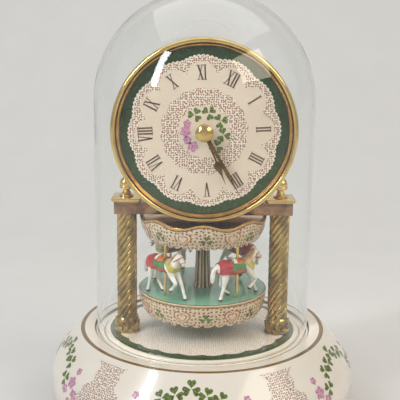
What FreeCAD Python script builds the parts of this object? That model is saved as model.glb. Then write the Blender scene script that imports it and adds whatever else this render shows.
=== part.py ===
import FreeCAD, Part
import math
import os
import re
import Sketcher
from FreeCAD import Placement, Rotation, Vector

# A dome clock with a small musical carousel under the dial.
# Millimetres, +Z up, origin on the table under the carousel's axis, front towards -Y.

doc = FreeCAD.newDocument("carousel_clock")
sheet = doc.addObject("Spreadsheet::Sheet", "Dims")

DIMENSIONS = [
    # porcelain base
    ("deck_height", 56.0, "lace disc's top above the table"),
    ("deck_wall", 5.0, "porcelain thickness of the deck"),
    ("disc_radius", 60.5, "raised lace disc"),
    ("groove_inner", 63.5, "inner wall of the dome's groove"),
    ("groove_outer", 71.5, "outer wall of the dome's groove"),
    ("groove_floor", 53.8, "height of the groove's floor"),
    ("shoulder_radius", 81.0, "edge of the deck at the painted band"),
    ("belly_radius", 100.5, "widest part of the base"),
    ("belly_height", 23.0, "height of the widest part"),
    ("shoulder_curve", 27.3, "radius of the round under the shoulder"),
    ("foot_curve", 33.15, "radius of the round above the foot"),
    ("rim_radius", 93.0, "outside of the foot rim"),
    ("rim_inner", 84.0, "inside of the foot rim"),
    ("pad_height", 1.5, "foot pads under the rim"),
    ("pad_radius", 3.2, "foot pads"),
    ("plate_bottom", 16.0, "steel plate that closes the base"),
    ("plate_thickness", 2.0, "steel plate that closes the base"),
    # dome
    ("dome_radius", 70.0, "outside of the glass"),
    ("dome_wall", 2.0, "thickness of the glass"),
    ("dome_centre", 205.1, "height where the round top begins"),
    # columns, beam and finials
    ("column_x", 48.8, "columns left and right of the axis"),
    ("column_y", -11.2, "columns in front of the axis"),
    ("column_radius", 6.4, "rope-twist column"),
    ("column_strands", 10, "strands in the twist"),
    ("column_lead", 50.0, "height of one full twist"),
    ("strand_depth", 0.9, "groove between the strands"),
    ("collar_height", 10.0, "leaf collar round the column's foot"),
    ("beam_bottom", 135.5, "underside of the crossbeam"),
    ("beam_height", 8.0, "crossbeam"),
    ("beam_front", -18.0, "front face of the crossbeam"),
    ("beam_back", 7.0, "back face of the crossbeam"),
    ("block_width", 14.8, "square blocks over the columns"),
    ("cap_width", 18.0, "square cap plates"),
    ("cap_height", 2.5, "square cap plates"),
    ("finial_height", 13.6, "acorn finials"),
    ("rod_radius", 1.5, "tie rods through the columns"),
    # clock head
    ("head_height", 190.3, "centre of the dial above the table"),
    ("head_tilt", -27.0, "dial turned clockwise in its ring, as found"),
    ("bezel_radius", 56.0, "outside of the bezel"),
    ("bezel_opening", 50.4, "sight opening of the bezel"),
    ("bezel_front", 36.0, "bezel's front, ahead of the axis"),
    ("dial_front", 31.0, "dial's face, ahead of the axis"),
    ("dial_thickness", 2.0, "porcelain dial"),
    ("pan_back", 22.0, "back of the dial pan, ahead of the axis"),
    ("can_radius", 38.0, "drum behind the dial"),
    ("can_back", -14.0, "back of the drum"),
    ("ring_width", 10.0, "bracket ring that holds the drum"),
    ("minute_length", 47.0, "minute hand"),
    ("hour_length", 35.0, "hour hand"),
    ("minute_angle", -123.0, "minute hand from the twelve"),
    ("hour_angle", -130.25, "hour hand from the twelve"),
    # carousel
    ("spindle_radius", 1.5, "carousel spindle"),
    ("running_gap", 0.05, "radial clearance of a running fit"),
    ("platform_top", 83.5, "platform's top above the table"),
    ("platform_radius", 42.0, "platform"),
    ("platform_thickness", 3.0, "platform"),
    ("skirt_bottom", 67.4, "lower edge of the skirt"),
    ("skirt_foot", 37.5, "radius at the skirt's lower edge"),
    ("skirt_lobes", 32, "scallops round the skirt"),
    ("valance_top", 134.0, "highest point of the canopy's edge"),
    ("valance_bottom", 117.5, "lower edge of the canopy's edge"),
    ("valance_radius", 41.5, "canopy's edge at its top"),
    ("valance_foot", 36.5, "canopy's edge at its lower edge"),
    ("valance_waves", 8, "waves round the canopy's upper edge"),
    ("wave_depth", 3.0, "canopy's upper edge, peak to valley"),
    ("roof_height", 130.4, "underside of the canopy roof"),
    ("porcelain_wall", 1.6, "skirt and valance thickness"),
    ("post_bottom_radius", 5.6, "centre column at the platform"),
    ("post_top_radius", 3.6, "centre column at the roof"),
    ("horse_circle", 32.5, "circle that the horses stand on"),
    ("horse_height", 31.0, "horse from hoof to ear"),
    ("pole_radius", 0.9, "horse poles"),
    # music movement
    ("barrel_y", 22.4, "spring barrel behind the spindle"),
    ("train_module", 0.8, "module of the barrel's wheels"),
    ("drive_teeth", 40, "barrel's drive wheel"),
    ("spindle_teeth", 16, "gear on the carousel spindle"),
    ("crown_teeth", 35, "crown teeth under the drive wheel"),
    ("pinion_teeth", 10, "small pinions"),
    ("wheel_bottom", 37.0, "underside of the drive wheel"),
    ("wheel_width", 3.0, "drive wheel and spindle gear"),
    ("drum_radius", 12.5, "spring barrel"),
    ("arbor_radius", 2.0, "winding arbor"),
    ("bed_thickness", 3.0, "movement's bedplate"),
    ("cylinder_radius", 6.5, "pinned cylinder"),
    ("cylinder_start", 20.2, "cylinder's inner end from the barrel"),
    ("cylinder_length", 19.6, "pinned cylinder"),
    ("fan_module", 0.5, "module of the fan's wheels"),
    ("fan_teeth", 40, "wheel that drives the fan"),
    ("fan_rise", 20.0, "angle of the fan above the cylinder, degrees"),
    ("cock_thickness", 2.0, "bearing plates of the cylinder"),
    # motion work behind the dial
    ("minute_module", 0.5, "module of the minute pair"),
    ("minute_teeth", 12, "pinion on the minute arbor"),
    ("motion_teeth", 36, "motion wheel"),
    ("hour_module", 0.48, "module of the hour pair"),
    ("hour_teeth", 40, "hour wheel"),
]
ALIASES = set()
for row, (alias, number, note) in enumerate(DIMENSIONS, start=1):
    sheet.set(f"A{row}", note)
    sheet.set(f"B{row}", str(number))
    sheet.setAlias(f"B{row}", alias)
    ALIASES.add(alias)
doc.recompute()

PRESSURE_ANGLE = math.radians(20)
TOOTH_ADDENDUM = 0.75
TOOTH_DEDENDUM = 1.05
TOOTH_BACKLASH = 0.14
MOVEMENT_SCREW = 1.25

nodes = {}


# Values and bindings from the sheet
def value(expression):
    return float(sheet.evalExpression(str(expression)))


def named(expression):
    return re.sub(r"[a-z_]+",
                  lambda word: "Dims." + word.group() if word.group() in ALIASES else word.group(),
                  str(expression))


def bind(item, **properties):
    for name, expression in properties.items():
        item.setExpression(name, named(expression))


def place(item, x=0, y=0, z=0, turn=None):
    item.Placement = Placement(Vector(value(x), value(y), value(z)), turn or Rotation())
    for axis, expression in (("x", x), ("y", y), ("z", z)):
        item.setExpression("Placement.Base." + axis, named(expression))
    return item


def node(name, item):
    item.Label = name
    nodes[name] = item
    return item


# Solids
ALONG_X = Rotation(Vector(0, 1, 0), 90)
ALONG_FRONT = Rotation(Vector(1, 0, 0), 90)


def rod(name, radius, length, x=0, y=0, z=0, turn=None):
    item = doc.addObject("Part::Cylinder", name)
    bind(item, Radius=radius, Height=length)
    return place(item, x, y, z, turn)


def block(name, length, width, height, x=0, y=0, z=0):
    item = doc.addObject("Part::Box", name)
    bind(item, Length=length, Width=width, Height=height)
    return place(item, x, y, z)


def hexagon(name, circumradius, height, x=0, y=0, z=0):
    item = doc.addObject("Part::Prism", name)
    item.Polygon = 6
    bind(item, Circumradius=circumradius, Height=height)
    return place(item, x, y, z)


def fuse(name, *pieces):
    item = doc.addObject("Part::MultiFuse", name)
    item.Shapes = list(pieces)
    item.Refine = True
    return item


def group(name, *pieces):
    item = doc.addObject("Part::Compound", name)
    item.Links = list(pieces)
    return item


def cut(name, base, *tools):
    item = doc.addObject("Part::Cut", name)
    item.Base = base
    item.Tool = tools[0] if len(tools) == 1 else fuse(name + "_tools", *tools)
    return item


# Sketched bodies
def new_body(name):
    return doc.addObject("PartDesign::Body", name)


def new_sketch(body, role):
    sketch = body.newObject("Sketcher::SketchObject", body.Name + "_sketch")
    plane = next(feature for feature in body.Origin.OriginFeatures if feature.Role == role)
    sketch.AttachmentSupport = [(plane, "")]
    sketch.MapMode = "FlatFace"
    return sketch


def arc_run(start, end, radius):
    """An arc from start to end, its centre on the left for a positive radius, and its two end names."""
    chord = end - start
    middle = (start + end) / 2
    left = Vector(-chord.y, chord.x, 0).normalize()
    rise = math.sqrt(max(radius ** 2 - (chord.Length / 2) ** 2, 0))
    centre = middle + left * math.copysign(rise, radius)
    first, last = (start, end) if radius > 0 else (end, start)
    angles = [math.atan2(spot.y - centre.y, spot.x - centre.x) for spot in (first, last)]
    if angles[1] < angles[0]:
        angles[1] += 2 * math.pi
    arc = Part.ArcOfCircle(Part.Circle(centre, Vector(0, 0, 1), abs(radius)), *angles)
    return arc, (1, 2) if radius > 0 else (2, 1)


def outline(sketch, corners):
    """A closed profile; a corner's third entry is the radius of the arc that runs into it."""
    spots = [Vector(value(corner[0]), value(corner[1]), 0) for corner in corners]
    runs = []
    for number, corner in enumerate(corners):
        target = corners[(number + 1) % len(corners)]
        start, end = spots[number], spots[(number + 1) % len(corners)]
        if len(target) > 2:
            curve, ends = arc_run(start, end, value(target[2]))
        else:
            curve, ends = Part.LineSegment(start, end), (1, 2)
        runs.append((sketch.addGeometry(curve, False),) + ends)
        if len(target) > 2:
            rule = sketch.addConstraint(Sketcher.Constraint("Radius", runs[-1][0], abs(value(target[2]))))
            sketch.setExpression(f"Constraints[{rule}]", named(f"abs({target[2]})"))
    for number, (run, first, _) in enumerate(runs):
        before, _, last = runs[number - 1]
        sketch.addConstraint(Sketcher.Constraint("Coincident", before, last, run, first))
        for kind, axis, expression in (("DistanceX", -2, corners[number][0]),
                                       ("DistanceY", -1, corners[number][1])):
            number_here = value(expression)
            if abs(number_here) < 1e-9:
                sketch.addConstraint(Sketcher.Constraint("PointOnObject", run, first, axis))
                continue
            rule = sketch.addConstraint(Sketcher.Constraint(kind, -1, 1, run, first, number_here))
            sketch.setExpression(f"Constraints[{rule}]", named(expression))


def turned(name, corners):
    """A piece turned about its own upright axis from a half profile of radius and height."""
    body = new_body(name)
    sketch = new_sketch(body, "XZ_Plane")
    outline(sketch, corners)
    doc.recompute()
    turn = body.newObject("PartDesign::Revolution", name + "_turn")
    turn.Profile = sketch
    turn.ReferenceAxis = (sketch, ["V_Axis"])
    turn.Angle = 360
    return body


def plate(name, corners, thickness):
    """A flat piece, padded upwards from its outline."""
    body = new_body(name)
    sketch = new_sketch(body, "XY_Plane")
    outline(sketch, corners)
    doc.recompute()
    pad = body.newObject("PartDesign::Pad", name + "_pad")
    pad.Profile = sketch
    bind(pad, Length=thickness)
    return body


def pattern_round(body, feature, sketch, axis, count):
    """Repeat a feature evenly round the body's axis."""
    ring = body.newObject("PartDesign::PolarPattern", body.Name + "_ring")
    ring.Originals = [feature]
    ring.Axis = (sketch, [axis])
    ring.Angle = 360
    bind(ring, Occurrences=count)
    body.Tip = ring
    return ring


def circle(sketch, x, y, radius):
    """A circle held by its centre and radius."""
    spot = Vector(value(x), value(y), 0)
    ring = sketch.addGeometry(Part.Circle(spot, Vector(0, 0, 1), value(radius)), False)
    rule = sketch.addConstraint(Sketcher.Constraint("Radius", ring, value(radius)))
    sketch.setExpression(f"Constraints[{rule}]", named(radius))
    for kind, axis, expression in (("DistanceX", -2, x), ("DistanceY", -1, y)):
        if abs(value(expression)) < 1e-9:
            sketch.addConstraint(Sketcher.Constraint("PointOnObject", ring, 3, axis))
            continue
        rule = sketch.addConstraint(Sketcher.Constraint(kind, -1, 1, ring, 3, value(expression)))
        sketch.setExpression(f"Constraints[{rule}]", named(expression))


def tooth_half_angle(radius, pitch_radius, module):
    """Half the angle that an involute tooth takes up at a radius."""
    base_radius = pitch_radius * math.cos(PRESSURE_ANGLE)

    def involute(at):
        if at <= base_radius:
            return 0.0
        angle = math.acos(base_radius / at)
        return math.tan(angle) - angle

    thickness = module * (math.pi / 2 - TOOTH_BACKLASH)
    return thickness / (2 * pitch_radius) + involute(pitch_radius) - involute(radius)


def gear(name, teeth, module, width, bore):
    """A spur gear that stands on the XY plane with one tooth along +X."""
    body = new_body(name)
    blank = new_sketch(body, "XY_Plane")
    root = f"{module} * ({teeth} / 2 - {TOOTH_DEDENDUM})"
    circle(blank, 0, 0, root)
    if bore is not None:
        circle(blank, 0, 0, bore)
    doc.recompute()
    disc = body.newObject("PartDesign::Pad", name + "_disc")
    disc.Profile = blank
    bind(disc, Length=width)
    doc.recompute()
    modulus, pitch = value(module), value(f"{module} * {teeth} / 2")
    inner = value(root)
    radii = (inner, pitch, pitch + TOOTH_ADDENDUM * modulus)
    flank = [Vector(r * math.cos(a), r * math.sin(a), 0)
             for r, a in ((r, tooth_half_angle(r, pitch, modulus)) for r in radii)]
    sunk = 0.4 * modulus
    low = Vector(flank[0].x - sunk, flank[0].y, 0)
    mirrored = [Vector(spot.x, -spot.y, 0) for spot in flank]
    low_mirrored = Vector(low.x, -low.y, 0)
    profile = new_sketch(body, "XY_Plane")
    for curve in (Part.LineSegment(low_mirrored, mirrored[0]), Part.Arc(*mirrored),
                  Part.LineSegment(mirrored[2], flank[2]), Part.Arc(*reversed(flank)),
                  Part.LineSegment(flank[0], low), Part.LineSegment(low, low_mirrored)):
        profile.addGeometry(curve, False)
    doc.recompute()
    tooth = body.newObject("PartDesign::Pad", name + "_tooth")
    tooth.Profile = profile
    bind(tooth, Length=width)
    doc.recompute()
    pattern_round(body, tooth, profile, "N_Axis", teeth)
    return body


# Porcelain base: a hollow ogee with a groove for the dome and holes for the rods and the spindle.
deck_edge = "deck_height - 0.6"
base_shell = turned("base_shell", [
    ("0", "deck_height - deck_wall"), ("0", "deck_height"), ("disc_radius", "deck_height"),
    ("disc_radius", "deck_height - 0.8"), ("groove_inner", "deck_height - 0.8"),
    ("groove_inner", "groove_floor"), ("groove_outer", "groove_floor"), ("groove_outer", deck_edge),
    ("shoulder_radius", deck_edge),
    ("belly_radius - 0.232 * shoulder_curve", "belly_height + 0.64 * shoulder_curve"),
    ("belly_radius", "belly_height", "-shoulder_curve"),
    ("rim_radius", "pad_height + 0.5", "-foot_curve"),
    ("rim_radius - 1.5", "pad_height"), ("rim_inner", "pad_height"),
    ("rim_inner", "plate_bottom + plate_thickness"), ("rim_inner - 5", "plate_bottom + plate_thickness"),
    ("rim_inner - 5", "plate_bottom + plate_thickness + 3"), ("belly_radius - 8.5", "belly_height + 2"),
    ("belly_radius - 12.5", "belly_height + 17"), ("shoulder_radius - 7", "deck_height - deck_wall")])
rod_holes = [rod(f"rod_hole_{side}", "rod_radius + 0.7", "deck_wall * 2", f"{sign} * column_x", "column_y",
                 "deck_height - deck_wall * 1.5") for side, sign in (("left", -1), ("right", 1))]
bush_hole = rod("deck_bush_hole", 4.0, "deck_wall * 2", 0, 0, "deck_height - deck_wall * 1.5")
node("porcelain_base", cut("porcelain_base", base_shell, bush_hole, *rod_holes))

# Foot pads under the rim
pad_spots = [math.radians(90 * quarter + 45) for quarter in range(4)]
pad_circle = value("(rim_radius - 1.5 + rim_inner) / 2")
node("foot_pads", group("foot_pads", *[
    rod(f"foot_pad_{number}", "pad_radius", "pad_height",
        pad_circle * math.cos(angle), pad_circle * math.sin(angle), 0)
    for number, angle in enumerate(pad_spots)]))

# Steel plate that closes the base and carries the music movement
plate_disc = rod("plate_disc", "rim_inner - 0.5", "plate_thickness", 0, 0, "plate_bottom")
key_hole = rod("key_hole", "arbor_radius + 1", "plate_thickness * 2", 0, "barrel_y", "plate_bottom - 1")
plate_holes = [rod(f"plate_rod_hole_{side}", "rod_radius + 0.1", "plate_thickness * 2", f"{sign} * column_x",
                   "column_y", "plate_bottom - 1") for side, sign in (("left", -1), ("right", 1))]
BED_SPOTS = [(-16, -4), (46, -4), (-16, 38), (46, 38)]
bed_screw_holes = [rod(f"plate_screw_hole_{number}", MOVEMENT_SCREW, "plate_thickness * 2", x, y,
                       "plate_bottom - 1") for number, (x, y) in enumerate(BED_SPOTS)]
node("base_plate", cut("base_plate", plate_disc, key_hole, *plate_holes, *bed_screw_holes))

# Glass dome: a tube with a half-round top, standing in the groove
node("glass_dome", turned("glass_dome", [
    ("dome_radius - dome_wall", "groove_floor + 0.05"), ("dome_radius", "groove_floor + 0.05"),
    ("dome_radius", "dome_centre"), ("0", "dome_centre + dome_radius", "dome_radius"),
    ("0", "dome_centre + dome_radius - dome_wall"),
    ("dome_radius - dome_wall", "dome_centre", "-(dome_radius - dome_wall)")]))


# Rope-twist columns: a lobed section carried up a straight spine and turned by a helix
def twisted_column():
    radius, depth, height = value("column_radius"), value("strand_depth"), value("beam_bottom - deck_height")
    strands = int(value("column_strands"))

    def spot(turn, reach):
        angle = 2 * math.pi * turn / strands
        return Vector(reach * math.cos(angle), reach * math.sin(angle), 0)

    lobes = [Part.Arc(spot(number, radius - depth), spot(number + 0.5, radius),
                      spot(number + 1, radius - depth)).toShape() for number in range(strands)]
    spine = Part.Wire([Part.LineSegment(Vector(), Vector(0, 0, height)).toShape()])
    helix = Part.Wire(Part.makeHelix(value("column_lead"), height, radius).Edges)
    shell = Part.BRepOffsetAPI.MakePipeShell(spine)
    shell.setAuxiliarySpine(helix, True, 0)
    shell.add(Part.Wire(lobes))
    shell.build()
    shell.makeSolid()
    return shell.shape()


column_shape = twisted_column()
ACORN, ACORN_TIP = 4.4, 1.3
collars, caps, finials, tie_rods, rod_nuts, beam_holes, blocks = [], [], [], [], [], [], []
for side, sign in (("left", -1), ("right", 1)):
    x = f"{sign} * column_x"
    twist = doc.addObject("Part::Feature", f"{side}_twist")
    twist.Shape = column_shape
    place(twist, x, "column_y", "deck_height")
    bore = rod(f"{side}_column_bore", "rod_radius + 0.1", "beam_bottom - deck_height + 2", x, "column_y",
               "deck_height - 1")
    node(f"{side}_column", cut(f"{side}_column", twist, bore))

    collar = turned(f"{side}_collar", [
        ("column_radius + 0.05", "0"), ("column_radius + 1.8", "0"), ("column_radius + 1.8", "1.4"),
        ("column_radius + 0.8", "collar_height * 0.55", "12"),
        ("column_radius + 1.2", "collar_height - 0.8", "7"),
        ("column_radius + 0.8", "collar_height"), ("column_radius + 0.05", "collar_height")])
    collars.append(place(collar, x, "column_y", "deck_height"))

    blocks.append(block(f"{side}_block", "block_width", "block_width", "beam_height",
                        f"{sign} * column_x - block_width / 2", "column_y - block_width / 2", "beam_bottom"))
    beam_holes.append(rod(f"{side}_beam_hole", "rod_radius + 0.1", "beam_height + 2", x, "column_y",
                          "beam_bottom - 1"))

    slab = block(f"{side}_cap_slab", "cap_width", "cap_width", "cap_height",
                 f"{sign} * column_x - cap_width / 2", "column_y - cap_width / 2",
                 "beam_bottom + beam_height")
    doc.recompute()
    moulding = doc.addObject("Part::Fillet", f"{side}_cap_moulding")
    moulding.Base = slab
    round_radius = 0.9
    moulding.Edges = [(number, round_radius, round_radius) for number in (2, 4, 6, 8, 10, 9, 12, 11)]
    cap_hole = rod(f"{side}_cap_hole", "rod_radius + 0.1", "cap_height + 2", x, "column_y",
                   "beam_bottom + beam_height - 1")
    caps.append(cut(f"{side}_cap", moulding, cap_hole))

    acorn = turned(f"{side}_acorn", [
        ("0", "3.5"), ("rod_radius", "3.5"), ("rod_radius", "0"), ("4.6", "0"), ("4.6", "1.2"),
        ("2.1", "4.2", "-3.4"), ("2.1", "4.9"), (ACORN, "6.3", "2.2"), (ACORN, "7.0"),
        (ACORN_TIP, f"7.0 + sqrt({ACORN}^2 - {ACORN_TIP}^2)", ACORN), ("0.5", "finial_height"),
        ("0", "finial_height")])
    finials.append(place(acorn, x, "column_y", "beam_bottom + beam_height + cap_height"))

    tie_rods.append(rod(f"{side}_tie_rod", "rod_radius",
                        "beam_bottom + beam_height + cap_height + 3 - plate_bottom + 3", x, "column_y",
                        "plate_bottom - 3"))
    nut = hexagon(f"{side}_nut_blank", 3.2, 2.4, x, "column_y", "plate_bottom - 2.4")
    nut_hole = rod(f"{side}_nut_hole", "rod_radius", 4, x, "column_y", "plate_bottom - 3.2")
    rod_nuts.append(cut(f"{side}_nut", nut, nut_hole))
node("column_collars", group("column_collars", *collars))
node("column_caps", group("column_caps", *caps))
node("finials", group("finials", *finials))
node("tie_rods", group("tie_rods", *tie_rods))
node("rod_nuts", group("rod_nuts", *rod_nuts))

# Crossbeam over the carousel, with the upper bush and the bracket's screw holes
beam_bar = block("beam_bar", "2 * column_x", "beam_back - beam_front", "beam_height", "-column_x",
                 "beam_front", "beam_bottom")
BRACKET_SCREWS = (-8, 8)
bracket_y = -9.0
bracket_holes = [rod(f"beam_screw_hole_{number}", MOVEMENT_SCREW, "beam_height + 2", x, bracket_y,
                     "beam_bottom - 1") for number, x in enumerate(BRACKET_SCREWS)]
beam_bush_hole = rod("beam_bush_hole", 3.2, "beam_height + 2", 0, 0, "beam_bottom - 1")
node("crossbeam", cut("crossbeam", fuse("beam_blank", beam_bar, *blocks), beam_bush_hole, *beam_holes,
                      *bracket_holes))

# Bushes that guide the spindle in the beam and in the deck
bush_bore = "spindle_radius + running_gap"
node("beam_bush", place(turned("beam_bush", [
    (bush_bore, "0"), ("3.2", "0"), ("3.2", "beam_height"), ("3.8", "beam_height"),
    ("3.8", "beam_height + 1"), (bush_bore, "beam_height + 1")]), 0, 0, "beam_bottom"))
node("deck_bush", place(turned("deck_bush", [
    (bush_bore, "0"), ("4.0", "0"), ("4.0", "deck_wall"), ("6.0", "deck_wall"), ("6.0", "deck_wall + 1.4"),
    ("4.6", "deck_wall + 2.4", "1.6"), (bush_bore, "deck_wall + 2.4")]), 0, 0, "deck_height - deck_wall"))

# Bracket: a foot on the beam and a ring that grips the clock's drum
ring_gap = "can_radius + running_gap"
ring = turned("bracket_ring", [
    (ring_gap, "0"), ("can_radius + 3", "0"), ("can_radius + 3", "ring_width"), (ring_gap, "ring_width")])
place(ring, 0, f"{bracket_y} + ring_width / 2", "head_height", ALONG_FRONT)
foot = block("bracket_foot", 26, "ring_width", "head_height - can_radius - 1.5 - beam_bottom - beam_height",
             -13, f"{bracket_y} - ring_width / 2", "beam_bottom + beam_height")
foot_trim = rod("bracket_foot_trim", ring_gap, "ring_width + 4", 0, f"{bracket_y} + ring_width / 2 + 2",
                "head_height", ALONG_FRONT)
foot_holes = [rod(f"bracket_hole_{number}", MOVEMENT_SCREW, 5, x, bracket_y, "beam_bottom + beam_height - 1")
              for number, x in enumerate(BRACKET_SCREWS)]
node("clock_bracket", cut("clock_bracket", fuse("bracket_blank", ring, foot), foot_trim, *foot_holes))


def screw(name, length, x, y, head_z, down=False):
    """A round-headed screw; its head sits under or over what it holds."""
    head = 1.2
    shank_z = f"{head_z} - {length}" if down else f"{head_z} + {head}"
    cap = rod(name + "_head", 2.3, head, x, y, head_z)
    return fuse(name, cap, rod(name + "_shank", MOVEMENT_SCREW, length, x, y, shank_z))


node("bracket_screws", group("bracket_screws", *[
    screw(f"bracket_screw_{number}", "beam_height + 3", x, bracket_y, "beam_bottom - 1.2")
    for number, x in enumerate(BRACKET_SCREWS)]))


# Clock head: every piece is made about its own axis and set facing the front
HEAD_TURN = ALONG_FRONT.multiply(Rotation(Vector(0, 0, 1), value("head_tilt")))


def in_head(item, x=0, y=0, z=0, turn=0.0):
    """Place a piece by its offsets in the head's own axes, with z towards the viewer."""
    spot = HEAD_TURN.multVec(Vector(value(x), value(y), value(z)))
    for axis in "xyz":
        item.setExpression("Placement.Base." + axis, None)
    item.Placement = Placement(spot + Vector(0, 0, value("head_height")),
                               HEAD_TURN.multiply(Rotation(Vector(0, 0, 1), turn)))
    return item


node("bezel", in_head(turned("bezel", [
    ("bezel_radius - 1.2", "pan_back + 2"), ("bezel_radius", "pan_back + 3.2"),
    ("bezel_radius", "bezel_front - 3.2"), ("bezel_radius - 3.2", "bezel_front", "3.4"),
    ("bezel_opening", "dial_front + 1.2"), ("bezel_opening", "dial_front"),
    ("bezel_radius - 1.2", "dial_front")])))
node("dial", in_head(turned("dial", [
    ("3.5", "0"), ("bezel_radius - 1.3", "0"), ("bezel_radius - 1.3", "dial_thickness"),
    ("3.5", "dial_thickness")]), z="dial_front - dial_thickness"))
pan_depth = "dial_front - dial_thickness - pan_back"
node("dial_pan", in_head(turned("dial_pan", [
    ("can_radius - 4", "0"), ("bezel_radius - 2.5", "0"), ("bezel_radius - 1.3", "1.2"),
    ("bezel_radius - 1.3", pan_depth), ("bezel_radius - 2.7", pan_depth), ("bezel_radius - 2.7", "1.4"),
    ("can_radius - 4", "1.4")]), z="pan_back"))
can_depth = "pan_back - can_back"
node("movement_can", in_head(turned("movement_can", [
    ("can_radius - 1.4", "1.6"), ("can_radius", "1.6"), ("can_radius", can_depth),
    ("can_radius - 3.5", can_depth), ("can_radius - 3.5", f"{can_depth} - 1.4"),
    ("can_radius - 1.4", f"{can_depth} - 1.4")]), z="can_back"))
knob_shaft = 1.0
node("back_cover", in_head(turned("back_cover", [
    (f"{knob_shaft} + running_gap", "0"), ("can_radius - 0.4", "0"), ("can_radius", "0.4"),
    ("can_radius", "1.6"),
    (f"{knob_shaft} + running_gap", "1.6")]), z="can_back"))

# Quartz movement: a box with a threaded bush through the dial
case_half = 24.0
case_back, case_front = 6.0, "pan_back - 0.6"
pipe_radius, bush_radius = 1.9, 3.3
case_shell = block("case_shell", 2 * case_half, 2 * case_half, f"{case_front} - {case_back}")
case_hollow = block("case_hollow", 2 * case_half - 2.4, 2 * case_half - 2.4,
                    f"{case_front} - {case_back} - 2.4")
for item, inset, low in ((case_shell, 0.0, 0.0), (case_hollow, 1.2, 1.2)):
    in_head(item, inset - case_half, inset - case_half, case_back + low)
case_bush = in_head(rod("case_bush", bush_radius, f"dial_front + 1.6 - {case_front} + 1"),
                    z=f"{case_front} - 1")
case_bore = in_head(rod("case_bore", f"{pipe_radius} + running_gap", 20), z=f"{case_front} - 2")
case_shaft = in_head(rod("case_shaft_hole", f"{knob_shaft} + running_gap", 4), z=case_back - 1)
motion_spot = "minute_module * (minute_teeth + motion_teeth) / 2"
case_stub = in_head(rod("case_stub", 0.7, f"{case_front} - {case_back} - 1"), x=motion_spot,
                    z=case_back + 0.5)
node("movement_case", cut("movement_case", fuse("case_blank", cut("case_box", case_shell, case_hollow),
                                                case_bush,
                                                case_stub), case_bore, case_shaft))
nut_blank = in_head(hexagon("dial_nut_blank", 5.0, 1.4), z="dial_front")
nut_bore = in_head(rod("dial_nut_bore", bush_radius, 4), z="dial_front - 1")
node("dial_nut", cut("dial_nut", nut_blank, nut_bore))
cell_radius, cell_length = 7.1, 49.0
cell = doc.addObject("Part::Cylinder", "battery_can")
cell.Radius, cell.Height = cell_radius, cell_length
cell_tip = doc.addObject("Part::Cylinder", "battery_tip")
cell_tip.Radius, cell_tip.Height = 2.6, 1.4
cell_offset, cell_z = -10.0, -4.0
spot = HEAD_TURN.multVec(Vector(-cell_length / 2, cell_offset, cell_z)) + Vector(0, 0, value("head_height"))
along = HEAD_TURN.multiply(ALONG_X)
cell.Placement = Placement(spot, along)
cell_tip.Placement = Placement(spot + along.multVec(Vector(0, 0, cell_length)), along)
node("battery", fuse("battery", cell, cell_tip))

# Motion work: the minute arbor drives the hour wheel through the motion wheel
minute_level, hour_level = 9.0, 13.5
gear_width = 2.4
minute_pinion = in_head(gear("minute_pinion", "minute_teeth", "minute_module", gear_width, None),
                        z=minute_level)
minute_shaft = in_head(rod("minute_shaft", knob_shaft - 0.1, "bezel_front + 1.5 - can_back + 2"),
                       z="can_back - 2")
knob_rod = in_head(rod("knob_rod", knob_shaft, "8 - can_back + 2"), z="can_back - 2")
node("minute_arbor", fuse("minute_arbor", minute_pinion, minute_shaft, knob_rod))
hour_gear = in_head(gear("hour_gear", "hour_teeth", "hour_module", gear_width, None), z=hour_level,
                    turn=180 / value("hour_teeth"))
hour_pipe = in_head(rod("hour_pipe", pipe_radius, f"dial_front + 3.2 - {hour_level}"), z=hour_level)
pipe_bore = in_head(rod("pipe_bore", f"{knob_shaft} - 0.1 + running_gap", 40), z=hour_level - 1)
node("hour_wheel", cut("hour_wheel", fuse("hour_wheel_blank", hour_gear, hour_pipe), pipe_bore))
motion_bore = in_head(rod("motion_bore", "0.7 + running_gap", 12), x=motion_spot, z=minute_level - 1)
motion_gear = in_head(gear("motion_gear", "motion_teeth", "minute_module", gear_width, None), x=motion_spot,
                      z=minute_level, turn=180 / value("motion_teeth"))
motion_pinion = in_head(gear("motion_pinion", "pinion_teeth", "hour_module",
                             hour_level - minute_level + gear_width,
                             None), x=motion_spot, z=minute_level)
node("motion_wheel", cut("motion_wheel", fuse("motion_blank", motion_gear, motion_pinion), motion_bore))


# Hands: flat pierced blades on round hubs
def blade(name, length, width, swell, swell_at):
    """A pointed hand along +Y with a swelling part of the way along."""
    return plate(name, [
        (f"-{width}", "0"), (width, "0"), (f"{width} * 0.6", f"{swell_at} - {swell} * 1.6"),
        (swell, swell_at), (f"{width} * 0.6", f"{swell_at} + {swell} * 1.8"), ("0", length),
        (f"-{width} * 0.6", f"{swell_at} + {swell} * 1.8"), (f"-{swell}", swell_at),
        (f"-{width} * 0.6", f"{swell_at} - {swell} * 1.6")], 0.5)


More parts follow.
